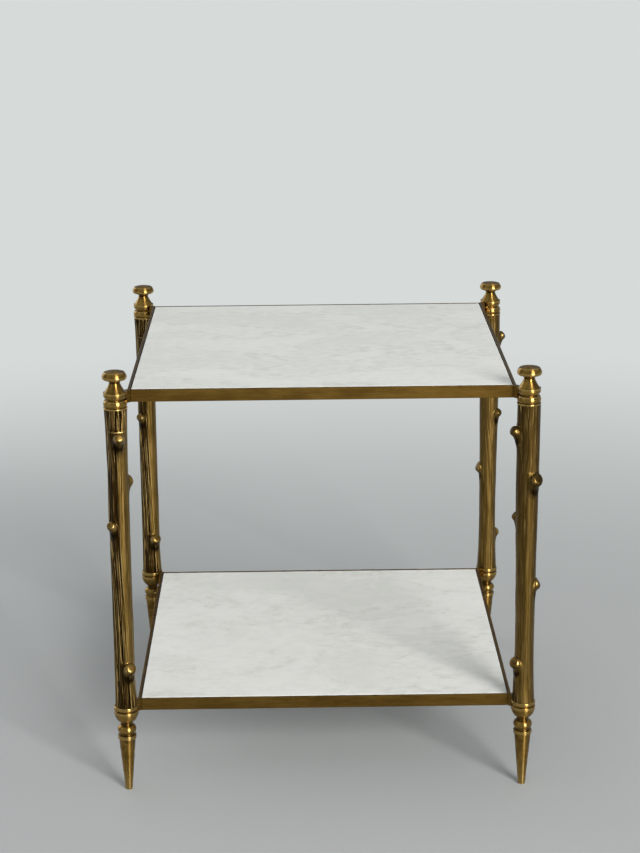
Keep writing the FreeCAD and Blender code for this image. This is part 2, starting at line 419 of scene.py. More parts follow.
@dataclass(frozen=True)
class TurnedBrass(Finish):
    """Turned and polished brass: fine tool rings, tarnish in the hollows and a soft cloudiness."""

    slot: ClassVar[Slot] = Slot.TURNED
    rubbed: Colour = seen(198, 168, 104)
    polished: Colour = seen(152, 120, 60)
    dulled: Colour = seen(104, 78, 34)
    tarnish: Colour = seen(40, 26, 9)
    ring_grain: Grain = (90.0, 90.0, 0.55)
    cloud_grain: Grain = (9.0, 9.0, 9.0)
    grit_grain: Grain = (0.5, 0.5, 0.5)
    rubbed_cover: float = 0.6
    tarnish_cover: float = 0.75
    roughness: float = 0.26
    ring_gloss: float = 0.9
    ring_turn: float = 0.25
    relief: float = 0.05

    def sockets(self, paint: Paint) -> dict[str, Any]:
        """Draw up the brass from the outline's hollows and its rubbed edges.

        Args:
            paint: The material's node tree.

        Returns:
            What feeds the sockets of its principled surface.
        """
        rings = paint.noise(self.ring_grain, detail=3.0, rough=0.65)
        cloud = paint.noise(self.cloud_grain, detail=4.0, rough=0.55)
        grit = paint.noise(self.grit_grain, detail=2.0)
        dull = (0.7 * cloud + 0.3 * rings).between(0.38, 0.68)
        dark = (paint.mark("recess") + 0.5 * (cloud - 0.5)).between(0.25, 1.0)
        bright = (paint.mark("wear") + 0.6 * (cloud - 0.5)).between(0.25, 0.9)
        colour = paint.blend(dull, self.polished, self.dulled)
        colour = paint.blend(self.rubbed_cover * bright, colour, self.rubbed)
        colour = paint.blend(self.tarnish_cover * dark, colour, self.tarnish)
        return {
            "Base Color": colour, "Metallic": 1.0,
            "Roughness": self.roughness + 0.08 * dull + 0.12 * dark + 0.06 * (grit - 0.5),
            "Anisotropic": self.ring_gloss, "Anisotropic Rotation": self.ring_turn,
            "Normal": paint.bump(rings, self.relief, 0.5),
        }


@dataclass(frozen=True)
class FrameBrass(Finish):
    """Satin brass of the angle frames, brushed along its length and browned with age."""

    slot: ClassVar[Slot] = Slot.FRAME
    gold: Colour = seen(122, 94, 43)
    brown: Colour = seen(100, 74, 31)
    stain: Colour = seen(56, 38, 17)
    brush_grain: Grain = (45.0, 45.0, 0.35)
    cloud_grain: Grain = (38.0, 38.0, 9.0)
    spot_grain: Grain = (3.2, 3.2, 3.2)
    stain_cover: float = 0.7
    roughness: float = 0.28
    relief: float = 0.02

    def sockets(self, paint: Paint) -> dict[str, Any]:
        """Draw up the brass.

        Args:
            paint: The material's node tree.

        Returns:
            What feeds the sockets of its principled surface.
        """
        brushed = paint.noise(self.brush_grain, detail=3.0, rough=0.6)
        cloud = paint.noise(self.cloud_grain, detail=4.0, rough=0.6)
        spots = paint.noise(self.spot_grain, detail=3.0, rough=0.6)
        tone = (0.15 * brushed + 0.85 * cloud).between(0.34, 0.66)
        stained = (0.6 * spots + 0.4 * cloud).between(0.60, 0.78)
        colour = paint.blend(tone, self.brown, self.gold)
        colour = paint.blend(self.stain_cover * stained, colour, self.stain)
        return {
            "Base Color": colour, "Metallic": 1.0,
            "Roughness": self.roughness + 0.12 * stained + 0.12 * (brushed - 0.5),
            "Normal": paint.bump(brushed, self.relief, 0.5),
        }


@dataclass(frozen=True)
class StudBrass(Finish):
    """Plain drawn brass of the hidden studs, with the fine rings of their thread.

    The wave texture turns by wave_turn radians in one grain.
    """

    slot: ClassVar[Slot] = Slot.STUD
    bare: Colour = seen(186, 150, 84)
    dull: Colour = seen(140, 106, 54)
    cloud_grain: Grain = (4.0, 4.0, 4.0)
    pitch: float = 1.0
    wave_turn: float = 20.0
    roughness: float = 0.30
    relief: float = 0.3

    def sockets(self, paint: Paint) -> dict[str, Any]:
        """Draw up the brass.

        Args:
            paint: The material's node tree.

        Returns:
            What feeds the sockets of its principled surface.
        """
        cloud = paint.noise(self.cloud_grain, detail=3.0)
        grain = self.pitch * self.wave_turn / (2 * math.pi)
        thread = paint.node(
            "ShaderNodeTexWave", {"wave_type": "BANDS", "bands_direction": "Z", "wave_profile": "TRI"},
            {"Vector": paint.point((grain, grain, grain)), "Scale": 1.0},
        )
        turns = Field(paint, thread.outputs["Fac"])
        return {
            "Base Color": paint.blend(cloud.between(0.35, 0.65), self.bare, self.dull),
            "Metallic": 1.0, "Roughness": self.roughness + 0.15 * cloud,
            "Normal": paint.bump(turns, self.relief, 0.7),
        }


@dataclass(frozen=True)
class Marble(Finish):
    """Honed white marble: faint drifting veins, soft mottling and a few dark specks."""

    slot: ClassVar[Slot] = Slot.MARBLE
    white: Colour = seen(233, 232, 229)
    cool: Colour = seen(222, 222, 218)
    vein: Colour = seen(199, 199, 193)
    speck: Colour = seen(160, 154, 148)
    drift_grain: Grain = (150.0, 95.0, 120.0)
    wisp_grain: Grain = (62.0, 40.0, 50.0)
    crystal_grain: Grain = (1.5, 1.5, 1.5)
    mottle_grain: Grain = (14.0, 11.0, 12.0)
    speck_gap: float = 26.0
    drift_cover: float = 0.42
    wisp_cover: float = 0.30
    crystal_cover: float = 0.10
    speck_cover: float = 0.8
    roughness: float = 0.62
    index: float = 1.52
    gloss: float = 0.15
    relief: float = 0.02

    def sockets(self, paint: Paint) -> dict[str, Any]:
        """Draw up the marble.

        Args:
            paint: The material's node tree.

        Returns:
            What feeds the sockets of its principled surface.
        """
        drift = paint.noise(self.drift_grain, detail=5.0, rough=0.55, swirl=0.9)
        wisps = paint.noise(self.wisp_grain, detail=6.0, rough=0.6, swirl=1.6)
        crystal = paint.noise(self.crystal_grain, detail=2.0, rough=0.6)
        mottle = paint.noise(self.mottle_grain, detail=4.0, rough=0.6)
        faint = 1 - abs(drift - 0.5).between(0.0, 0.035)
        thin = 1 - abs(wisps - 0.52).between(0.0, 0.018)
        fading = mottle.between(0.35, 0.70)
        dots = paint.cells(self.speck_gap)
        specks = (1 - dots.between(0.012, 0.030)) * crystal.between(0.40, 0.55)
        veins = self.drift_cover * faint * fading + self.wisp_cover * thin * fading
        colour = paint.blend((0.6 * drift + 0.4 * mottle).between(0.36, 0.64), self.white, self.cool)
        colour = paint.blend(veins, colour, self.vein)
        colour = paint.blend(self.crystal_cover * (crystal - 0.5), colour, self.vein)
        colour = paint.blend(self.speck_cover * specks, colour, self.speck)
        return {
            "Base Color": colour, "IOR": self.index, "Specular IOR Level": self.gloss,
            "Roughness": self.roughness + 0.10 * (mottle - 0.5) + 0.08 * (crystal - 0.5),
            "Normal": paint.bump(crystal, self.relief, 0.3),
        }


class Bench:
    """The workbench: selection, edit mode, modifiers, marks and copies."""

    @staticmethod
    def clear() -> None:
        """Deselect every object."""
        bpy.ops.object.select_all(action="DESELECT")

    @staticmethod
    def take(piece: bpy.types.Object) -> None:
        """Select one piece alone and make it active.

        Args:
            piece: The piece.
        """
        Bench.clear()
        piece.select_set(True)
        bpy.context.view_layer.objects.active = piece

    @staticmethod
    def block(low: Sequence[float], high: Sequence[float]) -> bpy.types.Object:
        """Add a block between two corners, in millimetres, with its place in its mesh.

        Args:
            low: Lowest corner.
            high: Highest corner.

        Returns:
            The new object, selected alone.
        """
        Bench.clear()
        middle = [(a + b) / 2 * MM for a, b in zip(low, high)]
        size = [(b - a) * MM for a, b in zip(low, high)]
        bpy.ops.mesh.primitive_cube_add(size=1.0, location=middle, scale=size)
        bpy.ops.object.transform_apply(location=True, rotation=True, scale=True)
        return bpy.context.object

    @staticmethod
    def drum(radius: float, bottom: float, top: float, sides: int) -> bpy.types.Object:
        """Add an upright drum on the z axis, in millimetres, with its place in its mesh.

        Args:
            radius: Radius.
            bottom: Height of its underside.
            top: Height of its upper side.
            sides: Number of sides.

        Returns:
            The new object, selected alone.
        """
        Bench.clear()
        bpy.ops.mesh.primitive_cylinder_add(
            vertices=sides, radius=radius * MM, depth=(top - bottom) * MM,
            location=(0, 0, (bottom + top) / 2 * MM),
        )
        bpy.ops.object.transform_apply(location=True, rotation=True, scale=True)
        return bpy.context.object

    @staticmethod
    def pick_faces(piece: bpy.types.Object, wanted: Callable[[Vector, Vector], bool]) -> None:
        """Select faces in edit mode.

        Args:
            piece: The piece in edit mode.
            wanted: Takes a face's middle, in millimetres, and its normal, and says if it is wanted.
        """
        bpy.ops.mesh.select_mode(type="FACE")
        bpy.ops.mesh.select_all(action="DESELECT")
        shape = bmesh.from_edit_mesh(piece.data)
        for face in shape.faces:
            if wanted(face.calc_center_median() / MM, face.normal):
                face.select_set(True)
        bmesh.update_edit_mesh(piece.data)

    @staticmethod
    def pick_edges(piece: bpy.types.Object, wanted: Callable[[Vector, Vector], bool]) -> None:
        """Select edges in edit mode.

        Args:
            piece: The piece in edit mode.
            wanted: Takes an edge's two ends, in millimetres, and says if it is wanted.
        """
        bpy.ops.mesh.select_mode(type="EDGE")
        bpy.ops.mesh.select_all(action="DESELECT")
        shape = bmesh.from_edit_mesh(piece.data)
        for edge in shape.edges:
            if wanted(edge.verts[0].co / MM, edge.verts[1].co / MM):
                edge.select_set(True)
        bmesh.update_edit_mesh(piece.data)

    @staticmethod
    def slice(place: Sequence[float], normal: Sequence[float], trim: bool) -> None:
        """Cut the piece in edit mode by a plane.

        Args:
            place: A point of the plane, in millimetres.
            normal: The plane's normal.
            trim: True to remove what the normal points at and close the cut.
        """
        bpy.ops.mesh.select_all(action="SELECT")
        bpy.ops.mesh.bisect(
            plane_co=[value * MM for value in place], plane_no=normal, use_fill=trim, clear_outer=trim
        )

    @staticmethod
    def leave() -> None:
        """Turn every face of the piece in edit mode outwards, and leave edit mode."""
        bpy.ops.mesh.select_all(action="SELECT")
        bpy.ops.mesh.normals_make_consistent(inside=False)
        bpy.ops.object.mode_set(mode="OBJECT")

    @staticmethod
    def modify(piece: bpy.types.Object, kind: str, **settings: Any) -> None:
        """Add one modifier to a piece and apply it.

        Args:
            piece: The piece.
            kind: The modifier's type name.
            settings: The modifier's settings.
        """
        Bench.take(piece)
        made = piece.modifiers.new(kind.lower(), kind)
        for name, value in settings.items():
            setattr(made, name, value)
        bpy.ops.object.modifier_apply(modifier=made.name)

    @staticmethod
    def ease(piece: bpy.types.Object, width: float, segments: int = 2, angle: float = 28.0) -> None:
        """Round a piece's sharp edges, and keep the faces beside them true.

        Args:
            piece: The piece.
            width: Width of the rounding, in millimetres.
            segments: Number of flats that draw the rounding.
            angle: Edges that turn by more than this are rounded, in degrees.
        """
        Bench.modify(
            piece, "BEVEL", width=width * MM, segments=segments, limit_method="ANGLE",
            angle_limit=math.radians(angle), use_clamp_overlap=True,
        )
        Bench.smooth(piece, SHARP_ANGLE)
        Bench.modify(piece, "WEIGHTED_NORMAL", mode="FACE_AREA", weight=50, keep_sharp=True)

    @staticmethod
    def smooth(piece: bpy.types.Object, angle: float) -> None:
        """Shade a piece smooth, except across edges sharper than an angle in degrees."""
        Bench.take(piece)
        bpy.ops.object.shade_smooth_by_angle(angle=math.radians(angle))

    @staticmethod
    def mark(piece: bpy.types.Object, name: str, values: np.ndarray) -> None:
        """Write one value for each vertex onto a piece's mesh."""
        made = piece.data.attributes.new(name, "FLOAT", "POINT")
        made.data.foreach_set("value", np.ascontiguousarray(values, dtype=np.float32))

    @staticmethod
    def points(piece: bpy.types.Object) -> np.ndarray:
        """Read a piece's vertices.

        Args:
            piece: The piece.

        Returns:
            Rows of x, y and z, in millimetres.
        """
        flat = np.zeros(3 * len(piece.data.vertices))
        piece.data.vertices.foreach_get("co", flat)
        return flat.reshape(-1, 3) / MM

    @staticmethod
    def copy(piece: bpy.types.Object, name: str, place: Matrix) -> bpy.types.Object:
        """Copy a piece with its own mesh, and set the copy's mesh in place.

        Args:
            piece: The piece as modelled.
            name: The copy's name.
            place: Where the copy goes.

        Returns:
            The copy.
        """
        made = bpy.data.objects.new(name, piece.data.copy())
        made.data.name = name
        made.data.transform(place)
        bpy.context.scene.collection.objects.link(made)
        return made

    @staticmethod
    def dress(piece: bpy.types.Object, finish: bpy.types.Material, slot: Slot, *nodes: str) -> None:
        """Give a piece its finish and its body, and hide the CAD nodes that it stands for.

        Args:
            piece: The finished piece.
            finish: Its material.
            slot: The slot of that material, which is logged.
            nodes: The CAD nodes that it replaces.
        """
        piece.data.materials.clear()
        piece.data.materials.append(finish)
        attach(piece, "root")
        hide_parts(*nodes)
        LOG.info("%s: %d faces, %s", piece.name, len(piece.data.polygons), slot.value)


class Outline:
    """Half outline of a turned piece: radius and height in millimetres, from the axis and back to it."""

    def __init__(self, radius: float, height: float) -> None:
        """Start on the axis and run out to a radius."""
        self.points: list[tuple[float, float]] = [(0.0, height), (radius, height)]

    def line(self, radius: float, height: float) -> "Outline":
        """Run straight to a radius and a height."""
        self.points.append((radius, height))
        return self

    def arc(self, radius: float, height: float, sag: float, steps: int = 14) -> "Outline":
        """Run along an arc.

        Args:
            radius: Radius at its end.
            height: Height at its end.
            sag: How far it bulges outwards, or inwards where negative.
            steps: Number of short runs that draw it.

        Returns:
            This outline.
        """
        start = np.array(self.points[-1])
        end = np.array((radius, height))
        chord = end - start
        length = float(np.hypot(*chord))
        outward = np.array((chord[1], -chord[0])) / length
        bend = (length ** 2 / 4 + sag ** 2) / (2 * abs(sag))
        centre = (start + end) / 2 + outward * (sag - math.copysign(bend, sag))
        first = math.atan2(*(start - centre)[::-1])
        last = math.atan2(*(end - centre)[::-1])
        turn = (last - first + math.pi) % (2 * math.pi) - math.pi
        for step in range(1, steps):
            angle = first + turn * step / steps
            self.points.append((centre[0] + bend * math.cos(angle), centre[1] + bend * math.sin(angle)))
        self.points.append((radius, height))
        return self

    def dome(self, height: float, steps: int = 10) -> "Outline":
        """Run over a dome to the axis.

        Args:
            height: Height of its crown.
            steps: Number of short runs that draw it.

        Returns:
            This outline.
        """
        radius, base = self.points[-1]
        rise = height - base
        ball = (radius ** 2 + rise ** 2) / (2 * rise)
        span = math.asin(radius / ball)
        for step in range(1, steps):
            angle = span * (1 - step / steps)
            self.points.append((ball * math.sin(angle), height - ball + ball * math.cos(angle)))
        self.points.append((0.0, height))
        return self

    def close(self) -> "Outline":
        """Run back to the axis."""
        if self.points[-1][0] > 0:
            self.points.append((0.0, self.points[-1][1]))
        return self

    def hollows(self, places: np.ndarray, reach: float = 1.6, full: float = 0.55,
                step: float = 0.2) -> np.ndarray:
        """Say how deep in a hollow of the outline, or how far out on an edge, each place lies.

        Args:
            places: Rows of x, y and z on the turned piece, in millimetres.
            reach: Distance over which the outline is averaged, in millimetres.
            full: Depth below that average that counts as fully sunk, in millimetres.
            step: Distance between the places where the outline is read, in millimetres.

        Returns:
            Values from 1 deep in a hollow to -1 out on an edge.
        """
        corners = np.array(self.points)
        runs = np.hypot(*np.diff(corners, axis=0).T)
        along = np.concatenate(([0.0], np.cumsum(runs)))
        steps = np.arange(0.0, along[-1], step)
        line = np.stack([np.interp(steps, along, corners[:, axis]) for axis in (0, 1)], axis=1)
        window = np.exp(-0.5 * (np.arange(-4 * reach, 4 * reach + step / 2, step) / reach) ** 2)
        window /= window.sum()
        half = len(window) // 2
        padded = np.pad(line, ((half, half), (0, 0)), mode="edge")
        mean = np.stack([np.convolve(padded[:, axis], window, mode="valid") for axis in (0, 1)], axis=1)
        tangent = np.gradient(line, axis=0)
        normal = np.stack((tangent[:, 1], -tangent[:, 0]), axis=1)
        normal /= np.maximum(np.hypot(*normal.T)[:, None], 1e-9)
        depth = np.sum((mean - line[: len(mean)]) * normal, axis=1)
        radius = np.hypot(places[:, 0], places[:, 1])
        gaps = (radius[:, None] - line[None, :, 0]) ** 2 + (places[:, 2, None] - line[None, :, 1]) ** 2
        return np.clip(depth[np.argmin(gaps, axis=1)] / full, -1.0, 1.0)


@dataclass
class TurnedPiece:
    """A piece turned on the lathe, one at each corner. Sizes are in millimetres, widths are diameters."""

    node: str = ""
    turns: int = 96
    edge: float = 0.28
    weld: float = 0.002

    def outline(self) -> Outline:
        """Return the half outline, with its lowest point at height 0."""
        raise NotImplementedError

    def turn(self) -> bpy.types.Object:
        """Draw the outline from one vertex by extrusion and spin it about the z axis.

        Returns:
            The turned piece, standing on the origin.
        """
        outline = self.outline().close()
        Bench.clear()
        bpy.ops.mesh.primitive_plane_add(size=MM)
        piece = bpy.context.object
        bpy.ops.object.mode_set(mode="EDIT")
        bpy.ops.mesh.select_all(action="SELECT")
        bpy.ops.mesh.merge(type="CENTER")
        radius, height = outline.points[0]
        bpy.ops.transform.translate(value=(radius * MM, 0, height * MM))
        for before, after in zip(outline.points, outline.points[1:]):
            step = ((after[0] - before[0]) * MM, 0, (after[1] - before[1]) * MM)
            bpy.ops.mesh.extrude_region_move(TRANSFORM_OT_translate={"value": step})
        bpy.ops.mesh.select_all(action="SELECT")
        bpy.ops.mesh.spin(steps=self.turns, angle=2 * math.pi, center=(0, 0, 0), axis=(0, 0, 1))
        bpy.ops.mesh.select_all(action="SELECT")
        bpy.ops.mesh.remove_doubles(threshold=self.weld * MM)
        Bench.leave()
        Bench.ease(piece, self.edge, segments=3)
        sunk = outline.hollows(Bench.points(piece))
        Bench.mark(piece, "recess", np.clip(sunk, 0.0, 1.0))
        Bench.mark(piece, "wear", np.clip(-sunk, 0.0, 1.0))
        return piece

    def build(self, finish: bpy.types.Material) -> None:
        """Turn the piece once and set a copy at each corner.

        Args:
            finish: The turned brass.
        """
        pattern = self.turn()
        for corner in Corner:
            node = self.node + "_" + corner.value
            piece = Bench.copy(pattern, "turned_" + node, corner.stand(node))
            Bench.dress(piece, finish, Slot.TURNED, node)
        bpy.data.objects.remove(pattern)


@dataclass
class Foot(TurnedPiece):
    """Foot: a long taper, a ring, a groove, a bead, a neck and a cup with a rim."""

    node: str = "foot"
    tip: float = 8.0
    tip_break: float = 0.6
    taper_height: float = 62.0
    taper: float = 18.4
    ring: float = 20.4
    ring_height: float = 4.0
    groove: float = 17.6
    groove_height: float = 3.0
    bead: float = 20.8
    bead_height: float = 9.0
    neck: float = 13.0
    neck_height: float = 3.0
    cup_height: float = 10.0
    cup_sag: float = 1.4
    rim: float = 27.0
    rim_height: float = 4.0
    rim_break: float = 0.4

    def outline(self) -> Outline:
        """Draw the foot's half outline.

        Returns:
            The outline.
        """
        made = Outline(self.tip / 2 - self.tip_break, 0.0)
        made.line(self.tip / 2, self.tip_break)
        height = self.taper_height
        made.line(self.taper / 2, height)
        made.line(self.ring / 2, height)
        height += self.ring_height
        made.line(self.ring / 2, height)
        made.line(self.groove / 2, height)
        height += self.groove_height
        made.line(self.groove / 2, height)
        height += self.bead_height
        sag = (self.bead - self.groove) / 2 + (self.groove - self.neck) / 4
        made.arc(self.neck / 2, height, sag, steps=18)
        height += self.neck_height
        made.line(self.neck / 2, height)
        height += self.cup_height
        made.arc(self.rim / 2 - self.rim_break, height, self.cup_sag, steps=14)
        made.line(self.rim / 2, height + self.rim_break)
        height += self.rim_height
        return made.line(self.rim / 2, height)


@dataclass
class BottomCollar(TurnedPiece):
    """Thin ring under the leg."""

    node: str = "bottom_collar"
    edge: float = 0.9
    diameter: float = 26.8
    height: float = 4.0

    def outline(self) -> Outline:
        """Return the ring's half outline."""
        return Outline(self.diameter / 2, 0.0).line(self.diameter / 2, self.height)


@dataclass
class TopCollar(TurnedPiece):
    """Collar on the leg: a bead below a barrel that draws in at both ends."""

    node: str = "top_collar"
    edge: float = 0.15
    diameter: float = 25.8
    height: float = 9.5
    draw: float = 1.3
    bead: float = 26.0
    bead_height: float = 2.0
    bead_sag: float = 0.7

    def outline(self) -> Outline:
        """Draw the collar's half outline.

        Returns:
            The outline.
        """
        bead = self.bead / 2 - self.bead_sag
        end = self.diameter / 2 - self.draw
        made = Outline(bead, 0.0).arc(bead, self.bead_height, self.bead_sag, steps=10)
        return made.line(end, self.bead_height).arc(end, self.height, self.draw, steps=18)


@dataclass
class Finial(TurnedPiece):
    """Finial: a base ring, a conical waist and a mushroom cap."""

    node: str = "finial"
    edge: float = 0.2
    base: float = 25.0
    base_height: float = 6.6
    base_draw: float = 1.9
    base_round: float = 4.0
    base_sag: float = 0.5
    base_step: float = 0.9
    cone_height: float = 10.4
    cone_sag: float = 0.5
    neck: float = 11.5
    under_height: float = 3.4
    under_sag: float = 0.9
    under: float = 22.0
    side_height: float = 3.6
    side_sag: float = 0.9
    cap: float = 26.7
    shoulder_height: float = 4.6
    shoulder_sag: float = 0.35
    brim: float = 21.8
    dome_height: float = 1.4

    def outline(self) -> Outline:
        """Draw the finial's half outline.

        Returns:
            The outline.
        """
        made = Outline(self.base / 2 - self.base_draw, 0.0)
        made.arc(self.base / 2, self.base_round, self.base_sag, steps=10)
        height = self.base_height
        made.line(self.base / 2, height)
        made.line(self.base / 2 - self.base_step, height)
        height += self.cone_height
        made.arc(self.neck / 2, height, -self.cone_sag, steps=10)
        height += self.under_height
        made.arc(self.under / 2, height, -self.under_sag, steps=10)
        height += self.side_height
        made.arc(self.cap / 2, height, self.side_sag, steps=10)
        height += self.shoulder_height
        made.arc(self.brim / 2, height, self.shoulder_sag, steps=8)
        return made.dome(height + self.dome_height)


@dataclass(frozen=True)
class Bud:
    """One bud, placed by a share of the leg's length and a bearing in degrees from the front towards +X.

    The ball is its diameter and the reach is how far it stands out of the bark, in millimetres. The
    ledge is how sharply the bark ends above it, from 0 to 1.
    """

    share: float
    bearing: float
    ball: float
    reach: float
    ledge: float


@dataclass
class TwigLeg:
    """Cast twig leg: an oval taper, furrowed bark on one side, and five buds that lean out of it.

    Lengths are in millimetres and angles in degrees. A station is a share of the leg's length, and the
    oval's width and depth there.
    """

    stations: tuple[tuple[float, float, float], ...] = (
        (0.00, 24.6, 24.6), (0.08, 22.2, 22.0), (0.20, 22.5, 20.8), (0.34, 22.0, 20.8),
        (0.50, 22.1, 23.0), (0.67, 22.8, 24.3), (0.84, 22.5, 25.1), (0.94, 23.8, 25.4),
        (1.00, 25.2, 25.4),
    )
    buds: tuple[Bud, ...] = (
        Bud(0.913, 15.0, 12.0, 8.6, 1.0),
        Bud(0.756, 135.0, 17.4, 7.8, 0.5),
        Bud(0.622, -35.0, 11.4, 7.2, 0.2),
        Bud(0.402, 180.0, 16.0, 6.6, 0.5),
        Bud(0.135, 34.0, 15.0, 7.6, 0.4),
    )
    girth_reach: int = 30
    mean_radius: float = 11.5
    mean_girth: float = 72.0
    # A bud leans out of an oval of bark and ends in a blunt ball on a neck.
    lean: float = 30.0
    blunt: float = 0.77
    blunt_round: float = 11.0
    oval_drop: float = 4.0
    oval_side: float = 2.0
    oval_up: float = 4.9
    oval_down: float = 10.0
    seat: float = 0.5
    neck: float = 0.58
    neck_lift: float = 0.15
    ball_reach: float = 98.0
    flare: float = 0.3
    # The bark is deep round one bearing, and all round near the ends of the leg.
    deep_bearing: float = -52.0
    deep_reach: float = 62.0
    deep_soft: float = 40.0
    end_reach: float = 60.0
    low_end: float = 22.0
    high_end: float = 16.0
    # Its lines part round the buds, wander, slide and fade. Depths are shares of the ridge between two.
    furrows: int = 13
    threads: int = 29
    deep_share: float = 0.34
    faint_share: float = 0.05
    part_share: float = 0.5
    part_wide: float = 8.0
    part_tall: float = 12.0
    part_drop: float = 4.0
    wander: float = 9.0
    seed_phase: float = 0.7
    wiggle: float = 7.0
    bend_tall: float = 30.0
    quiver_tall: float = 11.0
    quiver_share: float = 0.5
    crowding: float = 6.0
    crowded_places: int = 3
    drift: float = 15.0
    drift_share: float = 0.52
    drift_soft: float = 0.10
    fade_low: float = 0.25
    fade_span: float = 1.15
    fade_high: float = 1.2
    fade_tall: float = 42.0
    # Furrows, the cracks in them, fine threads, grain, and the lumps and flats of the casting.
    furrow_power: float = 2.4
    furrow_dark: float = 1.4
    crack_share: float = 0.3
    crack_wide: float = 0.10
    crack_dark: float = 0.5
    thread_depth: float = 0.26
    thread_power: float = 2.0
    thread_least: float = 0.3
    thread_full: float = 0.5
    grain_depth: float = 0.14
    smooth_grain: float = 0.35
    coarse_size: tuple[float, float] = (13.0, 1.1)
    fine_size: tuple[float, float] = (5.0, 0.8)
    fine_share: float = 0.5
    swell: float = 0.45
    lump_size: tuple[float, float] = (26.0, 14.0)
    flat_depth: float = 0.5
    flat_size: tuple[float, float] = (60.0, 6.0)
    # Smooth bark lies round each bud, ends in a ledge above it and swells to a heel below it.
    ledge_over: float = 1.2
    ledge_bow: float = 0.012
    ledge_crisp: float = 1.1
    ledge_soft: float = 5.0
    ledge_rise: float = 0.55
    skin_side: float = 3.3
    skin_under: float = 0.2
    skin_tall: float = 13.0
    skin_cover: float = 0.8
    heel_rise: float = 0.7
    heel_drop: float = 20.0
    heel_tall: float = 7.0
    heel_wide: float = 4.0
    # Marks for the finish, with painted shade round a bud's neck and under it. On a bud they go by
    # nearness: 0 off the stem, 1 at the ball's rim, up to 2.
    blur_rows: int = 5
    blur_columns: int = 4
    furrow_mark: float = 0.75
    hollow_mark: float = 1.1
    wear_full: float = 0.22
    ball_from: float = 0.5
    ball_soft: float = 0.7
    ball_bright: float = 0.25
    # A bud's neck and underside are darkened as painted shade.
    crease_at: float = 0.4
    crease_wide: float = 0.25
    crease_from: float = 0.2
    painted_crease_shade: float = 0.12
    painted_crease_shade_below: float = 0.2
    under_turn: float = 0.1
    under_soft: float = 0.5
    under_until: float = 1.75
    painted_underside_shade: float = 0.45
    # A bud's rim is painted lighter, as rubbed wear and a painted highlight.
    rim_at: float = 1.35
    rim_wide: float = 0.3
    rim_wear_and_highlight: float = 0.4
    soft_at: float = 0.6
    soft_wide: float = 0.5
    soft_from: float = 0.15
    soft_passes: int = 45
    # The mesh, and what differs from corner to corner.
    around: int = 156
    along: int = 600
    weld: float = 0.0005
    smooth_angle: float = 72.0
    turns: dict[Corner, float] = field(default_factory=lambda: {
        Corner.FRONT_LEFT: 0.0, Corner.FRONT_RIGHT: -93.0,
        Corner.BACK_LEFT: 0.0, Corner.BACK_RIGHT: 91.0,
    })
    crispness: dict[Corner, float] = field(default_factory=lambda: {
        Corner.FRONT_LEFT: 1.0, Corner.FRONT_RIGHT: 0.8,
        Corner.BACK_LEFT: 1.0, Corner.BACK_RIGHT: 0.25,
    })
    # Painted shade: how far each leg is darkened towards the patina colour, most at its upper end.
    painted_shade: dict[Corner, float] = field(default_factory=lambda: {
        Corner.FRONT_LEFT: 0.0, Corner.FRONT_RIGHT: 0.78,
        Corner.BACK_LEFT: 0.12, Corner.BACK_RIGHT: 0.62,
    })
    painted_shade_fade: float = 0.5
    # Worked out from the CAD leg.
    length: float = field(init=False)
    share: np.ndarray = field(init=False)
    bearing: np.ndarray = field(init=False)
    height: np.ndarray = field(init=False)

    def __post_init__(self) -> None:
        """Take the length from the CAD leg and lay out the grid of shares and bearings."""
        low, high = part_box("leg_" + Corner.FRONT_LEFT.value)
        self.length = (high.z - low.z) / MM
        self.share = np.linspace(0.0, 1.0, self.along + 1)[:, None]
        self.bearing = np.linspace(-math.pi, math.pi, self.around, endpoint=False)[None, :]
        self.height = self.share * self.length

    @staticmethod
    def _wrap(angle: np.ndarray) -> np.ndarray:
        """Bring angles between minus and plus half a turn."""
        return (angle + math.pi) % (2 * math.pi) - math.pi

    @staticmethod
    def _step(value: np.ndarray) -> np.ndarray:
        """Return a soft step from 0 to 1."""
        share = np.clip(value, 0.0, 1.0)
        return share * share * (3 - 2 * share)

    def _girth(self, column: int) -> np.ndarray:
        """Draw a smooth line through the stations.

        Args:
            column: 1 for the oval's width, 2 for its depth.

        Returns:
            The width or the depth at each share of the length.
        """
        table = np.array(self.stations)
        line = np.interp(self.share[:, 0], table[:, 0], table[:, column])
        window = np.hanning(2 * self.girth_reach + 1)
        padded = np.pad(line, self.girth_reach, mode="reflect", reflect_type="odd")
        return np.convolve(padded, window / window.sum(), mode="valid")[:, None]

    def _strands(self, count: int, tall: float, seed: int) -> np.ndarray:
        """Return values that drift between 0 and 1 along each of some lines.

        Args:
            count: Number of lines.
            tall: Length over which a value changes, in millimetres.
            seed: Number that picks the pattern.

        Returns:
            One column of values for each line.
        """
        rows = int(self.length / tall) + 1
        table = np.random.default_rng(seed).random((rows + 2, count))
        up = self.share[:, 0] * rows
        low = np.floor(up).astype(int)
        ease = self._step(up - low)[:, None]
        return table[low] * (1 - ease) + table[low + 1] * ease

    def _patches(self, bearing: np.ndarray, size: tuple[float, float], draw: Draw) -> np.ndarray:
        """Return smooth random patches from 0 to 1, closed round the leg.

        Args:
            bearing: Bearing of every point of the grid.
            size: Height and width of a patch.
            draw: The pattern.

        Returns:
            One value for every point.
        """
        tall, wide = size
        columns = max(3, int(self.mean_girth / wide))
        strands = self._strands(columns, tall, draw.value)
        across = (bearing / (2 * math.pi)) % 1.0 * columns
        low = np.floor(across).astype(int)
        ease = self._step(across - low)
        rows = np.arange(self.along + 1)[:, None]
        return strands[rows, low % columns] * (1 - ease) + strands[rows, (low + 1) % columns] * ease

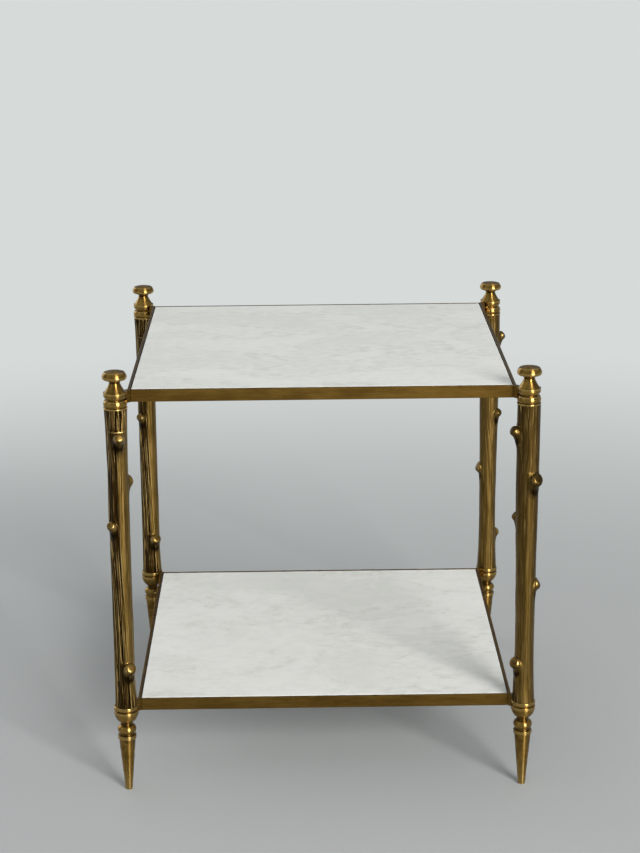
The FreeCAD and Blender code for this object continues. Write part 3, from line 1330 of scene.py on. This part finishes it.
    def _bark(self, bearing: np.ndarray) -> np.ndarray:
        """Say where the bark is furrowed.

        Args:
            bearing: Bearings, one row for each share of the length.

        Returns:
            1 on the furrowed side of the leg and 0 on its smooth side.
        """
        ends = np.exp(-self.height / self.low_end) + np.exp(-(self.length - self.height) / self.high_end)
        reach = np.radians(self.deep_reach + self.end_reach * np.clip(ends, 0.0, 1.0))
        off = np.abs(self._wrap(bearing - math.radians(self.deep_bearing)))
        return self._step((reach - off) / math.radians(self.deep_soft) + 0.5)

    def _parted(self) -> np.ndarray:
        """Turn the grid's bearings so that the lines of the bark part round each bud.

        Returns:
            The bearing at which the bark is drawn, for every point.
        """
        parted = np.broadcast_to(self.bearing, (self.along + 1, self.around)).copy()
        for bud in self.buds:
            off = self._wrap(self.bearing - math.radians(bud.bearing))
            side = off * self.mean_radius / self.part_wide
            up = (self.height - bud.share * self.length + self.part_drop) / self.part_tall
            parted -= self.part_share * off * np.exp(-side ** 2 - up ** 2)
        return parted

    def _lines(self, bearing: np.ndarray, count: int, draw: Draw) -> tuple[np.ndarray, np.ndarray]:
        """Lay wandering lines down the leg.

        Args:
            bearing: Bearing at which the bark is drawn.
            count: Number of lines round the leg.
            draw: The pattern by which they wander and fade.

        Returns:
            The place between two lines, from 0 to 1, and the depth of the nearer line in millimetres.
        """
        seed = draw.value
        even = 2 * math.pi * np.arange(count) / count
        toward = 0.5 + 0.5 * np.cos(even - math.radians(self.deep_bearing))
        wander = self.wander * np.sin(2 * math.pi * self.share + np.sin(even) + self.seed_phase * seed)
        bends = self._strands(count, self.bend_tall, seed + 1) - 0.5
        quivers = self._strands(count, self.quiver_tall, seed + 2) - 0.5
        closer = self.furrows / count
        wiggle = self.wiggle * closer * (bends + self.quiver_share * quivers)
        crowd = self.crowding * closer * np.sin(self.crowded_places * even + seed)
        slide = self.drift * toward * np.tanh((self.drift_share - self.share) / self.drift_soft)
        places = even + np.radians(wander + wiggle + crowd + slide)
        gaps = (np.roll(places, -1, axis=1) - places) % (2 * math.pi)
        narrow = np.minimum(gaps, np.roll(gaps, 1, axis=1))
        fading = self.fade_low + self.fade_span * self._strands(count, self.fade_tall, seed + 3)
        fading = np.minimum(fading, self.fade_high)
        shares = self.faint_share + (self.deep_share - self.faint_share) * self._bark(places)
        depths = self.mean_radius * narrow * shares * fading
        between = np.zeros(bearing.shape)
        depth = np.zeros(bearing.shape)
        for line in range(count):
            past = (bearing - places[:, line, None]) % (2 * math.pi)
            share = past / gaps[:, line, None]
            following = depths[:, (line + 1) % count, None]
            nearer = np.where(share < 0.5, depths[:, line, None], following)
            between = np.where(share < 1.0, share, between)
            depth = np.where(share < 1.0, nearer, depth)
        return between, depth

    def _relief(self, crisp: float) -> tuple[np.ndarray, np.ndarray]:
        """Model the bark without its buds.

        Args:
            crisp: How deep the furrows came out of the mould, up to 1.

        Returns:
            Height of the bark over the oval, in millimetres, and how deep in a furrow each point lies.
        """
        parted = self._parted()
        bark = self._bark(parted)
        between, depth = self._lines(parted, self.furrows, Draw.FURROWS)
        away = np.abs(2 * between - 1)
        furrow = crisp * depth * away ** self.furrow_power
        crack = self.crack_share * crisp * depth * np.exp(-((1 - away) / self.crack_wide) ** 2)
        fine, fine_depth = self._lines(parted, self.threads, Draw.THREADS)
        strength = self.thread_least + fine_depth / self.thread_full
        thread = crisp * self.thread_depth * strength * np.abs(2 * fine - 1) ** self.thread_power
        grain = self._patches(parted, self.coarse_size, Draw.COARSE_GRAIN) - 0.5
        fine_grain = self._patches(parted, self.fine_size, Draw.FINE_GRAIN) - 0.5
        grain = grain + self.fine_share * fine_grain
        around = np.broadcast_to(self.bearing, parted.shape)
        lumps = self._patches(around, self.lump_size, Draw.LUMPS) - 0.5
        flats = self._patches(parted, self.flat_size, Draw.FLATS) - 0.5
        relief = self.swell * lumps + self.flat_depth * flats - furrow - crack - thread
        relief += self.grain_depth * (self.smooth_grain + (1 - self.smooth_grain) * bark) * grain
        sunk = np.clip(furrow / self.furrow_dark, 0.0, 1.0) * away ** 2 + crack / self.crack_dark
        return relief, sunk

    def _ledges(self, relief: np.ndarray, sunk: np.ndarray) -> None:
        """Close the furrows round each bud with smooth bark that ends in a ledge above it.

        Args:
            relief: Height of the bark over the oval, changed in place.
            sunk: How deep in a furrow each point lies, changed in place.
        """
        for bud in self.buds:
            side = self._wrap(self.bearing - math.radians(bud.bearing)) * self.mean_radius
            up = self.height - bud.share * self.length - bud.ball / 2
            soft = self.ledge_crisp + self.ledge_soft * (1 - bud.ledge)
            below = self._step((self.ledge_over - up + self.ledge_bow * side ** 2) / soft)
            fade = np.exp(-(np.clip(-self.skin_under - up, 0.0, None) / self.skin_tall) ** 2)
            skin = np.exp(-(side / (self.skin_side + bud.ball / 2)) ** 4) * below * fade
            relief *= 1 - self.skin_cover * skin
            relief += self.ledge_rise * bud.ledge * skin
            heel = ((up + self.heel_drop) / self.heel_tall) ** 2 + (side / self.heel_wide) ** 2
            relief += self.heel_rise * np.exp(-heel)
            sunk *= 1 - skin

    @staticmethod
    def _blurred(values: np.ndarray, rows: int, columns: int) -> np.ndarray:
        """Average values over a window.

        Args:
            values: One value for every point of the grid.
            rows: Reach of the window up and down the leg.
            columns: Reach of the window round it.

        Returns:
            The averages.
        """
        def run(table: np.ndarray, size: int, mode: str) -> np.ndarray:
            """Average along the first axis."""
            window = np.hanning(2 * size + 3)[1:-1]
            window /= window.sum()
            padded = np.pad(table, ((size, size), (0, 0)), mode=mode)
            return sum(
                weight * padded[start:start + len(table)] for start, weight in enumerate(window)
            )

        return run(run(values, rows, "edge").T, columns, "wrap").T

    def _swing(self, bud: Bud, points: np.ndarray) -> tuple[np.ndarray, np.ndarray]:
        """Pull the bark inside a bud's oval out over its ball.

        Args:
            bud: The bud.
            points: Rows, columns and x, y, z of the leg's surface, changed in place.

        Returns:
            How near the ball each point lies, from 0 off its stem over 1 at its rim to 2, and the
            angle round it.
        """
        bearing = math.radians(bud.bearing)
        middle = bud.share * self.length
        out = np.array((math.sin(bearing), -math.cos(bearing), 0.0))
        across = np.array((math.cos(bearing), math.sin(bearing), 0.0))
        above = np.array((0.0, 0.0, 1.0))
        lean = math.radians(self.lean)
        tip = math.cos(lean) * out + math.sin(lean) * above
        top = math.cos(lean) * above - math.sin(lean) * out
        row = int(round(bud.share * self.along))
        column = int(round((bearing + math.pi) / (2 * math.pi) * self.around)) % self.around
        bark = float(np.hypot(points[row, column, 0], points[row, column, 1])) - self.seat
        radius = bud.ball / 2
        proud = bud.reach - radius
        centre = out * (bark + proud) + above * middle
        side = self._wrap(self.bearing - bearing) * bark / (radius + self.oval_side)
        rise = self.height - middle + self.oval_drop
        up = rise / (radius + np.where(rise > 0, self.oval_up, self.oval_down))
        far = np.hypot(side, up)
        angle = np.arctan2(up, np.broadcast_to(side, far.shape))
        lift = np.sin(angle)
        neck = self.neck + self.neck_lift * lift
        tilt = lift * math.tan(lean)
        meet = np.clip(-proud / (math.cos(lean) * radius) / np.sqrt(1 + tilt ** 2), -1.0, 1.0)
        edge = np.minimum(np.arccos(meet) - np.arctan(tilt), math.radians(self.ball_reach))
        polar = edge * np.clip(far / neck, 0.0, 1.0)
        ring = np.cos(angle)[..., None] * across + np.sin(angle)[..., None] * top
        flat = np.exp(-self.blunt_round * np.cos(polar)) + math.exp(-self.blunt_round * self.blunt)
        end = -np.log(flat) / self.blunt_round
        ball = centre + radius * (end[..., None] * tip + np.sin(polar)[..., None] * ring)
        share = np.clip((far - neck) / (1 - neck), 0.0, 1.0)[..., None]
        share = (1 - self.flare) * share + self.flare * self._step(share)
        inside = far < 1.0
        points[inside] = (ball * (1 - share) + points * share)[inside]
        return np.clip((1 - far) / (1 - neck), 0.0, 2.0), angle

    @staticmethod
    def _soften(points: np.ndarray, where: np.ndarray, passes: int) -> None:
        """Relax the surface.

        Args:
            points: Rows, columns and x, y, z of the leg's surface, changed in place.
            where: How far each point takes part, from 0 to 1.
            passes: Number of rounds.
        """
        weight = 0.5 * where[1:-1, :, None]
        for _ in range(passes):
            around = np.roll(points, 1, axis=1) + np.roll(points, -1, axis=1)
            mean = (around[1:-1] + points[:-2] + points[2:]) / 4
            points[1:-1] += weight * (mean - points[1:-1])

    def _shade(self, near: np.ndarray, angle: np.ndarray, marks: dict[str, np.ndarray]) -> None:
        """Mark a bud: painted shade round its neck and on its underside, its ball, and its rim, rubbed
        and with a painted highlight.

        Args:
            near: How near the ball each point lies.
            angle: The angle of each point round it.
            marks: The leg's marks, which are replaced.
        """
        down = -np.sin(angle)
        ball = self._step((near - self.ball_from) / self.ball_soft)
        # Painted shade round the neck, stronger on its underside.
        crease_shade = np.exp(-((near - self.crease_at) / self.crease_wide) ** 2)
        crease_shade = crease_shade * self._step(near / self.crease_from)
        crease_shade = crease_shade * (self.painted_crease_shade + self.painted_crease_shade_below * np.clip(down, 0.0, 1.0))
        # Painted shade on the bud's underside.
        under = self._step(near / self.under_soft)
        under = under * self._step((down - self.under_turn) / (1 - self.under_turn))
        under = under * self._step((self.under_until - near) / self.under_soft)
        # The rim is lighter as rubbed wear and a painted highlight, except on the underside.
        rim = np.exp(-((near - self.rim_at) / self.rim_wide) ** 2) * (1 - under)
        # The recess mark now holds the furrows' patina and this painted shade.
        recess = marks["recess"] * (1 - ball) + crease_shade + self.painted_underside_shade * under
        wear = marks["wear"] * (1 - ball) * (1 - crease_shade) + self.ball_bright * ball
        marks["recess"] = np.clip(recess, 0.0, 1.0)
        marks["wear"] = np.clip(wear + self.rim_wear_and_highlight * rim, 0.0, 1.0)
        marks["bud"] = np.maximum(marks["bud"], ball)

    def sculpt(self, crisp: float, brown: float) -> tuple[np.ndarray, dict[str, np.ndarray]]:
        """Model the whole leg on its grid.

        Args:
            crisp: How deep the furrows came out of the mould, up to 1.
            brown: How far the leg is darkened as painted shade at its upper end, up to 1; it thins out
                towards the foot.

        Returns:
            The surface's points in millimetres, standing on the origin, and its marks from 0 to 1.
        """
        relief, sunk = self._relief(crisp)
        self._ledges(relief, sunk)
        width = self._girth(1)
        depth = self._girth(2)
        oval = 1 / np.hypot(2 * np.sin(self.bearing) / width, 2 * np.cos(self.bearing) / depth)
        radius = oval + relief
        rise = np.broadcast_to(self.height, radius.shape)
        points = np.stack(
            (radius * np.sin(self.bearing), -radius * np.cos(self.bearing), rise), axis=2
        )
        hollow = self._blurred(relief, self.blur_rows, self.blur_columns) - relief
        recess = self.furrow_mark * sunk + self.hollow_mark * np.clip(hollow, 0.0, 1.0)
        marks = {
            "recess": np.clip(recess, 0.0, 1.0),
            "wear": np.clip(-hollow / self.wear_full, 0.0, 1.0),
            "bud": np.zeros(radius.shape),
        }
        for bud in self.buds:
            near, angle = self._swing(bud, points)
            soft = np.exp(-((near - self.soft_at) / self.soft_wide) ** 2)
            self._soften(points, soft * self._step(near / self.soft_from), self.soft_passes)
            self._shade(near, angle, marks)
        bark = crisp * self._bark(np.broadcast_to(self.bearing, radius.shape)) * (1 - marks["bud"])
        # The bark mark holds the patina of the furrowed side and the leg's painted shade, which thins out
        # towards the foot.
        marks["bark"] = np.maximum(brown * (1 - self.painted_shade_fade * (1 - self.share)), bark)
        return points, marks

    def cast(self, crisp: float, brown: float) -> bpy.types.Object:
        """Wrap a grid into the sculpted leg, join its seam and close its ends.

        Args:
            crisp: How deep the furrows came out of the mould, up to 1.
            brown: How far the leg is darkened as painted shade at its upper end, up to 1.

        Returns:
            The leg, standing on the origin.
        """
        points, marks = self.sculpt(crisp, brown)
        Bench.clear()
        bpy.ops.mesh.primitive_grid_add(x_subdivisions=self.around, y_subdivisions=self.along, size=2.0)
        piece = bpy.context.object
        flat = Bench.points(piece) * MM
        column = np.rint((flat[:, 0] + 1) / 2 * self.around).astype(int) % self.around
        row = np.rint((flat[:, 1] + 1) / 2 * self.along).astype(int)
        piece.data.vertices.foreach_set("co", (points[row, column] * MM).astype(np.float32).ravel())
        for name, values in marks.items():
            Bench.mark(piece, name, values[row, column])
        bpy.ops.object.mode_set(mode="EDIT")
        bpy.ops.mesh.select_all(action="SELECT")
        bpy.ops.mesh.remove_doubles(threshold=self.weld * MM)
        for end in (0.0, self.length):
            Bench.pick_edges(piece, lambda a, b: max(abs(a.z - end), abs(b.z - end)) < LEVEL)
            bpy.ops.mesh.edge_face_add()
        Bench.leave()
        Bench.smooth(piece, self.smooth_angle)
        return piece

    def build(self, finish: bpy.types.Material) -> None:
        """Cast a leg for each corner, turned to its own bearing.

        Args:
            finish: The cast brass.
        """
        for corner in Corner:
            node = "leg_" + corner.value
            turn = Matrix.Rotation(math.radians(self.turns[corner]), 4, "Z")
            piece = self.cast(self.crispness[corner], self.painted_shade[corner])
            piece.data.transform(corner.stand(node) @ turn)
            piece.name = "twig_" + node
            piece.data.name = piece.name
            Bench.dress(piece, finish, Slot.CAST, node)


@dataclass
class ShelfFrame:
    """The two angle frames: mitred rails with a lip and a ledge, and lugs at the cut corners.

    Sizes are in millimetres. The eye and the hole are diameters.
    """

    lip: float = 3.0
    ledge: float = 13.0
    ledge_thick: float = 3.0
    lug_width: float = 5.6
    lug_length: float = 6.0
    eye: dict[Tier, float] = field(default_factory=lambda: {Tier.LOWER: 23.0, Tier.UPPER: 18.0})
    eye_thick: float = 2.0
    eye_sides: int = 72
    hole: float = 6.4
    hole_sides: int = 48
    hole_margin: float = 1.0
    edge: float = 0.35

    def rail(self) -> bpy.types.Object:
        """Model the lower front rail: a lip, the ledge drawn out of it, mitres and cut corners.

        Returns:
            The rail, in place.
        """
        low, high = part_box("lower_rail_front")
        front = low.y / MM
        half = -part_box("lower_rail_left")[0].x / MM
        bottom = low.z / MM
        top = high.z / MM
        cut = self.lug_width / math.sqrt(2)
        piece = Bench.block((-half, front, bottom), (half, front + self.lip, top))
        bpy.ops.object.mode_set(mode="EDIT")
        Bench.slice((0, 0, bottom + self.ledge_thick), (0, 0, 1), False)
        Bench.pick_faces(
            piece, lambda middle, normal: normal.y > FACING and middle.z < bottom + self.ledge_thick
        )
        bpy.ops.mesh.extrude_region_move(
            TRANSFORM_OT_translate={"value": (0, (self.ledge - self.lip) * MM, 0)}
        )
        for hand in (-1, 1):
            Bench.slice((hand * half, front, 0), (hand, 1, 0), True)
            Bench.slice((hand * (half - cut), front, 0), (hand, -1, 0), True)
        Bench.leave()
        Bench.ease(piece, self.edge, segments=3)
        return piece

    def lug(self, tier: Tier) -> bpy.types.Object:
        """Model a lug with its eye on the z axis, its bar along +X and its underside at height 0.

        Args:
            tier: The shelf that it carries.

        Returns:
            The lug.
        """
        low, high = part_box("lower_rail_front")
        tall = (high.z - low.z) / MM
        corner = Corner.FRONT_LEFT.axis() / MM
        half = -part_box("lower_rail_left")[0].x / MM
        wide = self.lug_width / 2
        end = (-corner.x - half) * math.sqrt(2) + wide
        start = end - self.lug_length
        drop = (tall - self.eye_thick) / 2
        piece = Bench.block((start, -wide, 0), (end, wide, tall))
        bpy.ops.object.mode_set(mode="EDIT")
        Bench.slice((0, 0, drop), (0, 0, 1), False)
        Bench.slice((0, 0, drop + self.eye_thick), (0, 0, 1), False)
        Bench.pick_faces(
            piece,
            lambda middle, normal: normal.x < -FACING and drop < middle.z < drop + self.eye_thick,
        )
        bpy.ops.mesh.extrude_region_move(TRANSFORM_OT_translate={"value": (-start * MM, 0, 0)})
        bpy.ops.object.mode_set(mode="OBJECT")
        Bench.ease(piece, self.edge, segments=3)
        lid = drop + self.eye_thick
        eye = Bench.drum(self.eye[tier] / 2, drop, lid, self.eye_sides)
        margin = self.hole_margin
        hole = Bench.drum(self.hole / 2, drop - margin, lid + margin, self.hole_sides)
        Bench.modify(piece, "BOOLEAN", operation="UNION", object=eye, solver="EXACT")
        Bench.modify(piece, "BOOLEAN", operation="DIFFERENCE", object=hole, solver="EXACT")
        bpy.data.objects.remove(eye)
        bpy.data.objects.remove(hole)
        Bench.smooth(piece, SHARP_ANGLE)
        return piece

    def build(self, finish: bpy.types.Material) -> None:
        """Model one rail, and one lug for each shelf, and set copies of them round both shelves.

        Args:
            finish: The frame brass.
        """
        rail = self.rail()
        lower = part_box("lower_rail_front")[0].z
        for tier in Tier:
            front = tier.value + "_rail_front"
            lift = Matrix.Translation((0, 0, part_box(front)[0].z - lower))
            lug = self.lug(tier)
            for side in Side:
                name, quarters = side.value
                node = tier.value + "_rail_" + name
                turn = Matrix.Rotation(quarters * math.pi / 2, 4, "Z")
                Bench.dress(Bench.copy(rail, "angle_" + node, lift @ turn), finish, Slot.FRAME, node)
            for corner in Corner:
                node = tier.value + "_lug_" + corner.value
                turn = Matrix.Rotation(corner.inward(), 4, "Z")
                piece = Bench.copy(lug, "bar_" + node, corner.stand(front) @ turn)
                Bench.dress(piece, finish, Slot.FRAME, node)
            bpy.data.objects.remove(lug)
        bpy.data.objects.remove(rail)


@dataclass
class MarbleShelf:
    """A marble slab with an eased upper edge, lying on its frame's ledge. Sizes are in millimetres."""

    arris: float = 0.8
    arris_segments: int = 4
    edge: float = 0.25

    def build(self, finish: bpy.types.Material) -> None:
        """Model both slabs.

        Args:
            finish: The marble.
        """
        for tier in Tier:
            node = tier.value + "_marble"
            low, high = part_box(node)
            piece = Bench.block(low / MM, high / MM)
            top = high.z / MM
            bpy.ops.object.mode_set(mode="EDIT")
            Bench.pick_edges(piece, lambda a, b: a.z > top - LEVEL and b.z > top - LEVEL)
            bpy.ops.mesh.bevel(offset=self.arris * MM, segments=self.arris_segments, affect="EDGES")
            bpy.ops.object.mode_set(mode="OBJECT")
            Bench.ease(piece, self.edge, segments=2)
            piece.name = "slab_" + node
            piece.data.name = piece.name
            Bench.dress(piece, finish, Slot.MARBLE, node)


@dataclass(frozen=True)
class Lamp:
    """A soft rectangular lamp: power in watts, width and height and place in metres, and its colour."""

    name: str
    power: float
    size: tuple[float, float]
    place: tuple[float, float, float]
    colour: Colour = (1.0, 1.0, 1.0)

    def hang(self, target: Sequence[float]) -> None:
        """Hang the lamp.

        Args:
            target: The point that it lights, in metres.
        """
        data = bpy.data.lights.new(self.name, "AREA")
        data.shape = "RECTANGLE"
        data.size, data.size_y = self.size
        data.energy = self.power
        data.color = self.colour
        made = bpy.data.objects.new(self.name, data)
        made.location = self.place
        aim = Vector(target) - Vector(self.place)
        made.rotation_euler = aim.to_track_quat("-Z", "Y").to_euler()
        bpy.context.scene.collection.objects.link(made)


@dataclass
class Studio:
    """Plain pale floor, soft light that is strongest from the front right, and the camera.

    Lengths are in metres, the heights of the sky's belts in degrees and the camera's turns in radians.
    """

    floor_half: float = 60.0
    floor_colour: Colour = seen(178, 180, 181)
    far_colour: Colour = seen(214, 219, 218)
    floor_middle: tuple[float, float] = (0.0, -0.6)
    floor_reach: tuple[float, float] = (0.9, 2.6)
    floor_roughness: float = 0.9
    sky_colour: Colour = (0.95, 1.0, 0.99)
    horizon: float = 0.72
    low_sky: float = 0.14
    high_sky: float = 0.57
    horizon_fade: tuple[float, float] = (4.0, 10.0)
    sky_rise: tuple[float, float] = (18.0, 36.0)
    lamps: tuple[Lamp, ...] = (
        Lamp("key", 660.0, (2.2, 3.8), (3.0, -5.6, 1.9), (1.0, 0.985, 0.96)),
        Lamp("fill", 3.0, (1.6, 1.6), (-2.4, -1.5, 1.5)),
        Lamp("back", 50.0, (3.6, 3.0), (-3.6, 3.4, 2.0)),
    )
    lit_point: tuple[float, float, float] = (0.0, 0.0, 0.25)
    camera_place: tuple[float, float, float] = (-0.0268, -2.3129, 1.0077)
    pitch: float = 0.2744
    yaw: float = 0.0115
    roll: float = -0.0086
    focal_pixels: float = 2039.013
    image_height: float = 853.0
    sensor_height: float = 36.0
    far_clip: float = 100.0

    def floor(self) -> None:
        """Lay the floor.

        It looks paler away from a place before the table, but gives no more light there.
        """
        made = bpy.data.materials.new("floor")
        paint = Paint(made)
        metre = 1 / MM
        shift = (-self.floor_middle[0], -self.floor_middle[1], 0.0)
        away = paint.node(
            "ShaderNodeVectorMath", {"operation": "LENGTH"}, {0: paint.point((metre,) * 3, shift)}
        )
        pale = Field(paint, away.outputs["Value"]).between(*self.floor_reach)
        path = paint.node("ShaderNodeLightPath", {}, {})
        shown = Field(paint, path.outputs["Is Camera Ray"]) + Field(paint, path.outputs["Is Glossy Ray"])
        shown = shown + Field(paint, path.outputs["Is Transmission Ray"])
        ground = paint.node(
            "ShaderNodeBsdfPrincipled", {},
            {"Base Color": self.floor_colour, "Roughness": self.floor_roughness,
             "Specular IOR Level": 0.0},
        )
        glow = paint.node("ShaderNodeEmission", {}, {"Color": self.far_colour, "Strength": 1.0})
        mixed = paint.node(
            "ShaderNodeMixShader", {}, {0: pale * shown, 1: ground.outputs[0], 2: glow.outputs[0]}
        )
        paint.node("ShaderNodeOutputMaterial", {}, {"Surface": mixed.outputs[0]})
        Bench.clear()
        bpy.ops.mesh.primitive_plane_add(size=2 * self.floor_half)
        piece = bpy.context.object
        piece.name = "floor"
        piece.data.materials.append(made)

    def lights(self) -> None:
        """Hang the lamps and set the soft light all round: a pale horizon, a dim belt, a bright sky."""
        for lamp in self.lamps:
            lamp.hang(self.lit_point)
        world = bpy.data.worlds.new("soft_light")
        bpy.context.scene.world = world
        paint = Paint(world)
        toward = paint.node("ShaderNodeTexCoord", {}, {})
        parts = paint.node("ShaderNodeSeparateXYZ", {}, {0: toward.outputs["Generated"]})
        up = Field(paint, parts.outputs["Z"])
        above = up.between(*(math.sin(math.radians(angle)) for angle in self.horizon_fade))
        rise = up.between(*(math.sin(math.radians(angle)) for angle in self.sky_rise))
        strength = self.horizon - (self.horizon - self.low_sky) * above
        strength = strength + (self.high_sky - self.low_sky) * rise
        glow = paint.node("ShaderNodeBackground", {}, {"Color": self.sky_colour, "Strength": strength})
        paint.node("ShaderNodeOutputWorld", {}, {"Surface": glow.outputs[0]})

    def camera(self) -> None:
        """Set the camera where the picture was taken from."""
        forward = Vector((
            math.sin(self.yaw) * math.cos(self.pitch),
            math.cos(self.yaw) * math.cos(self.pitch),
            -math.sin(self.pitch),
        ))
        level = Vector((math.cos(self.yaw), -math.sin(self.yaw), 0.0))
        upright = level.cross(forward)
        right = math.cos(self.roll) * level + math.sin(self.roll) * upright
        top = math.cos(self.roll) * upright - math.sin(self.roll) * level
        data = bpy.data.cameras.new("camera")
        data.sensor_fit = "VERTICAL"
        data.sensor_height = self.sensor_height
        data.lens = self.focal_pixels * self.sensor_height / self.image_height
        data.clip_end = self.far_clip
        made = bpy.data.objects.new("camera", data)
        made.matrix_world = Matrix((
            (right.x, top.x, -forward.x, self.camera_place[0]),
            (right.y, top.y, -forward.y, self.camera_place[1]),
            (right.z, top.z, -forward.z, self.camera_place[2]),
            (0.0, 0.0, 0.0, 1.0),
        ))
        bpy.context.scene.collection.objects.link(made)
        bpy.context.scene.camera = made

    def build(self) -> None:
        """Set up floor, lights and camera."""
        self.floor()
        self.lights()
        self.camera()
        bpy.context.scene.view_settings.view_transform = "Standard"


def dress_studs(finish: bpy.types.Material) -> None:
    """Give the hidden studs, which stay as they are, their finish.

    Args:
        finish: The stud brass.
    """
    for corner in Corner:
        for kind in ("foot_stud_", "finial_stud_"):
            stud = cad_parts[kind + corner.value]
            stud.data.materials.clear()
            stud.data.materials.append(finish)
            LOG.info("%s: kept, %s", stud.name, Slot.STUD.value)


def main() -> None:
    """Build the table piece by piece, then the studio round it."""
    logging.basicConfig(level=logging.INFO, format="%(name)s %(message)s")
    turned = TurnedBrass().material()
    for piece in (Foot(), BottomCollar(), TopCollar(), Finial()):
        piece.build(turned)
    TwigLeg().build(CastBrass().material())
    ShelfFrame().build(FrameBrass().material())
    MarbleShelf().build(Marble().material())
    dress_studs(StudBrass().material())
    Studio().build()


if __name__ == "__main__":
    main()
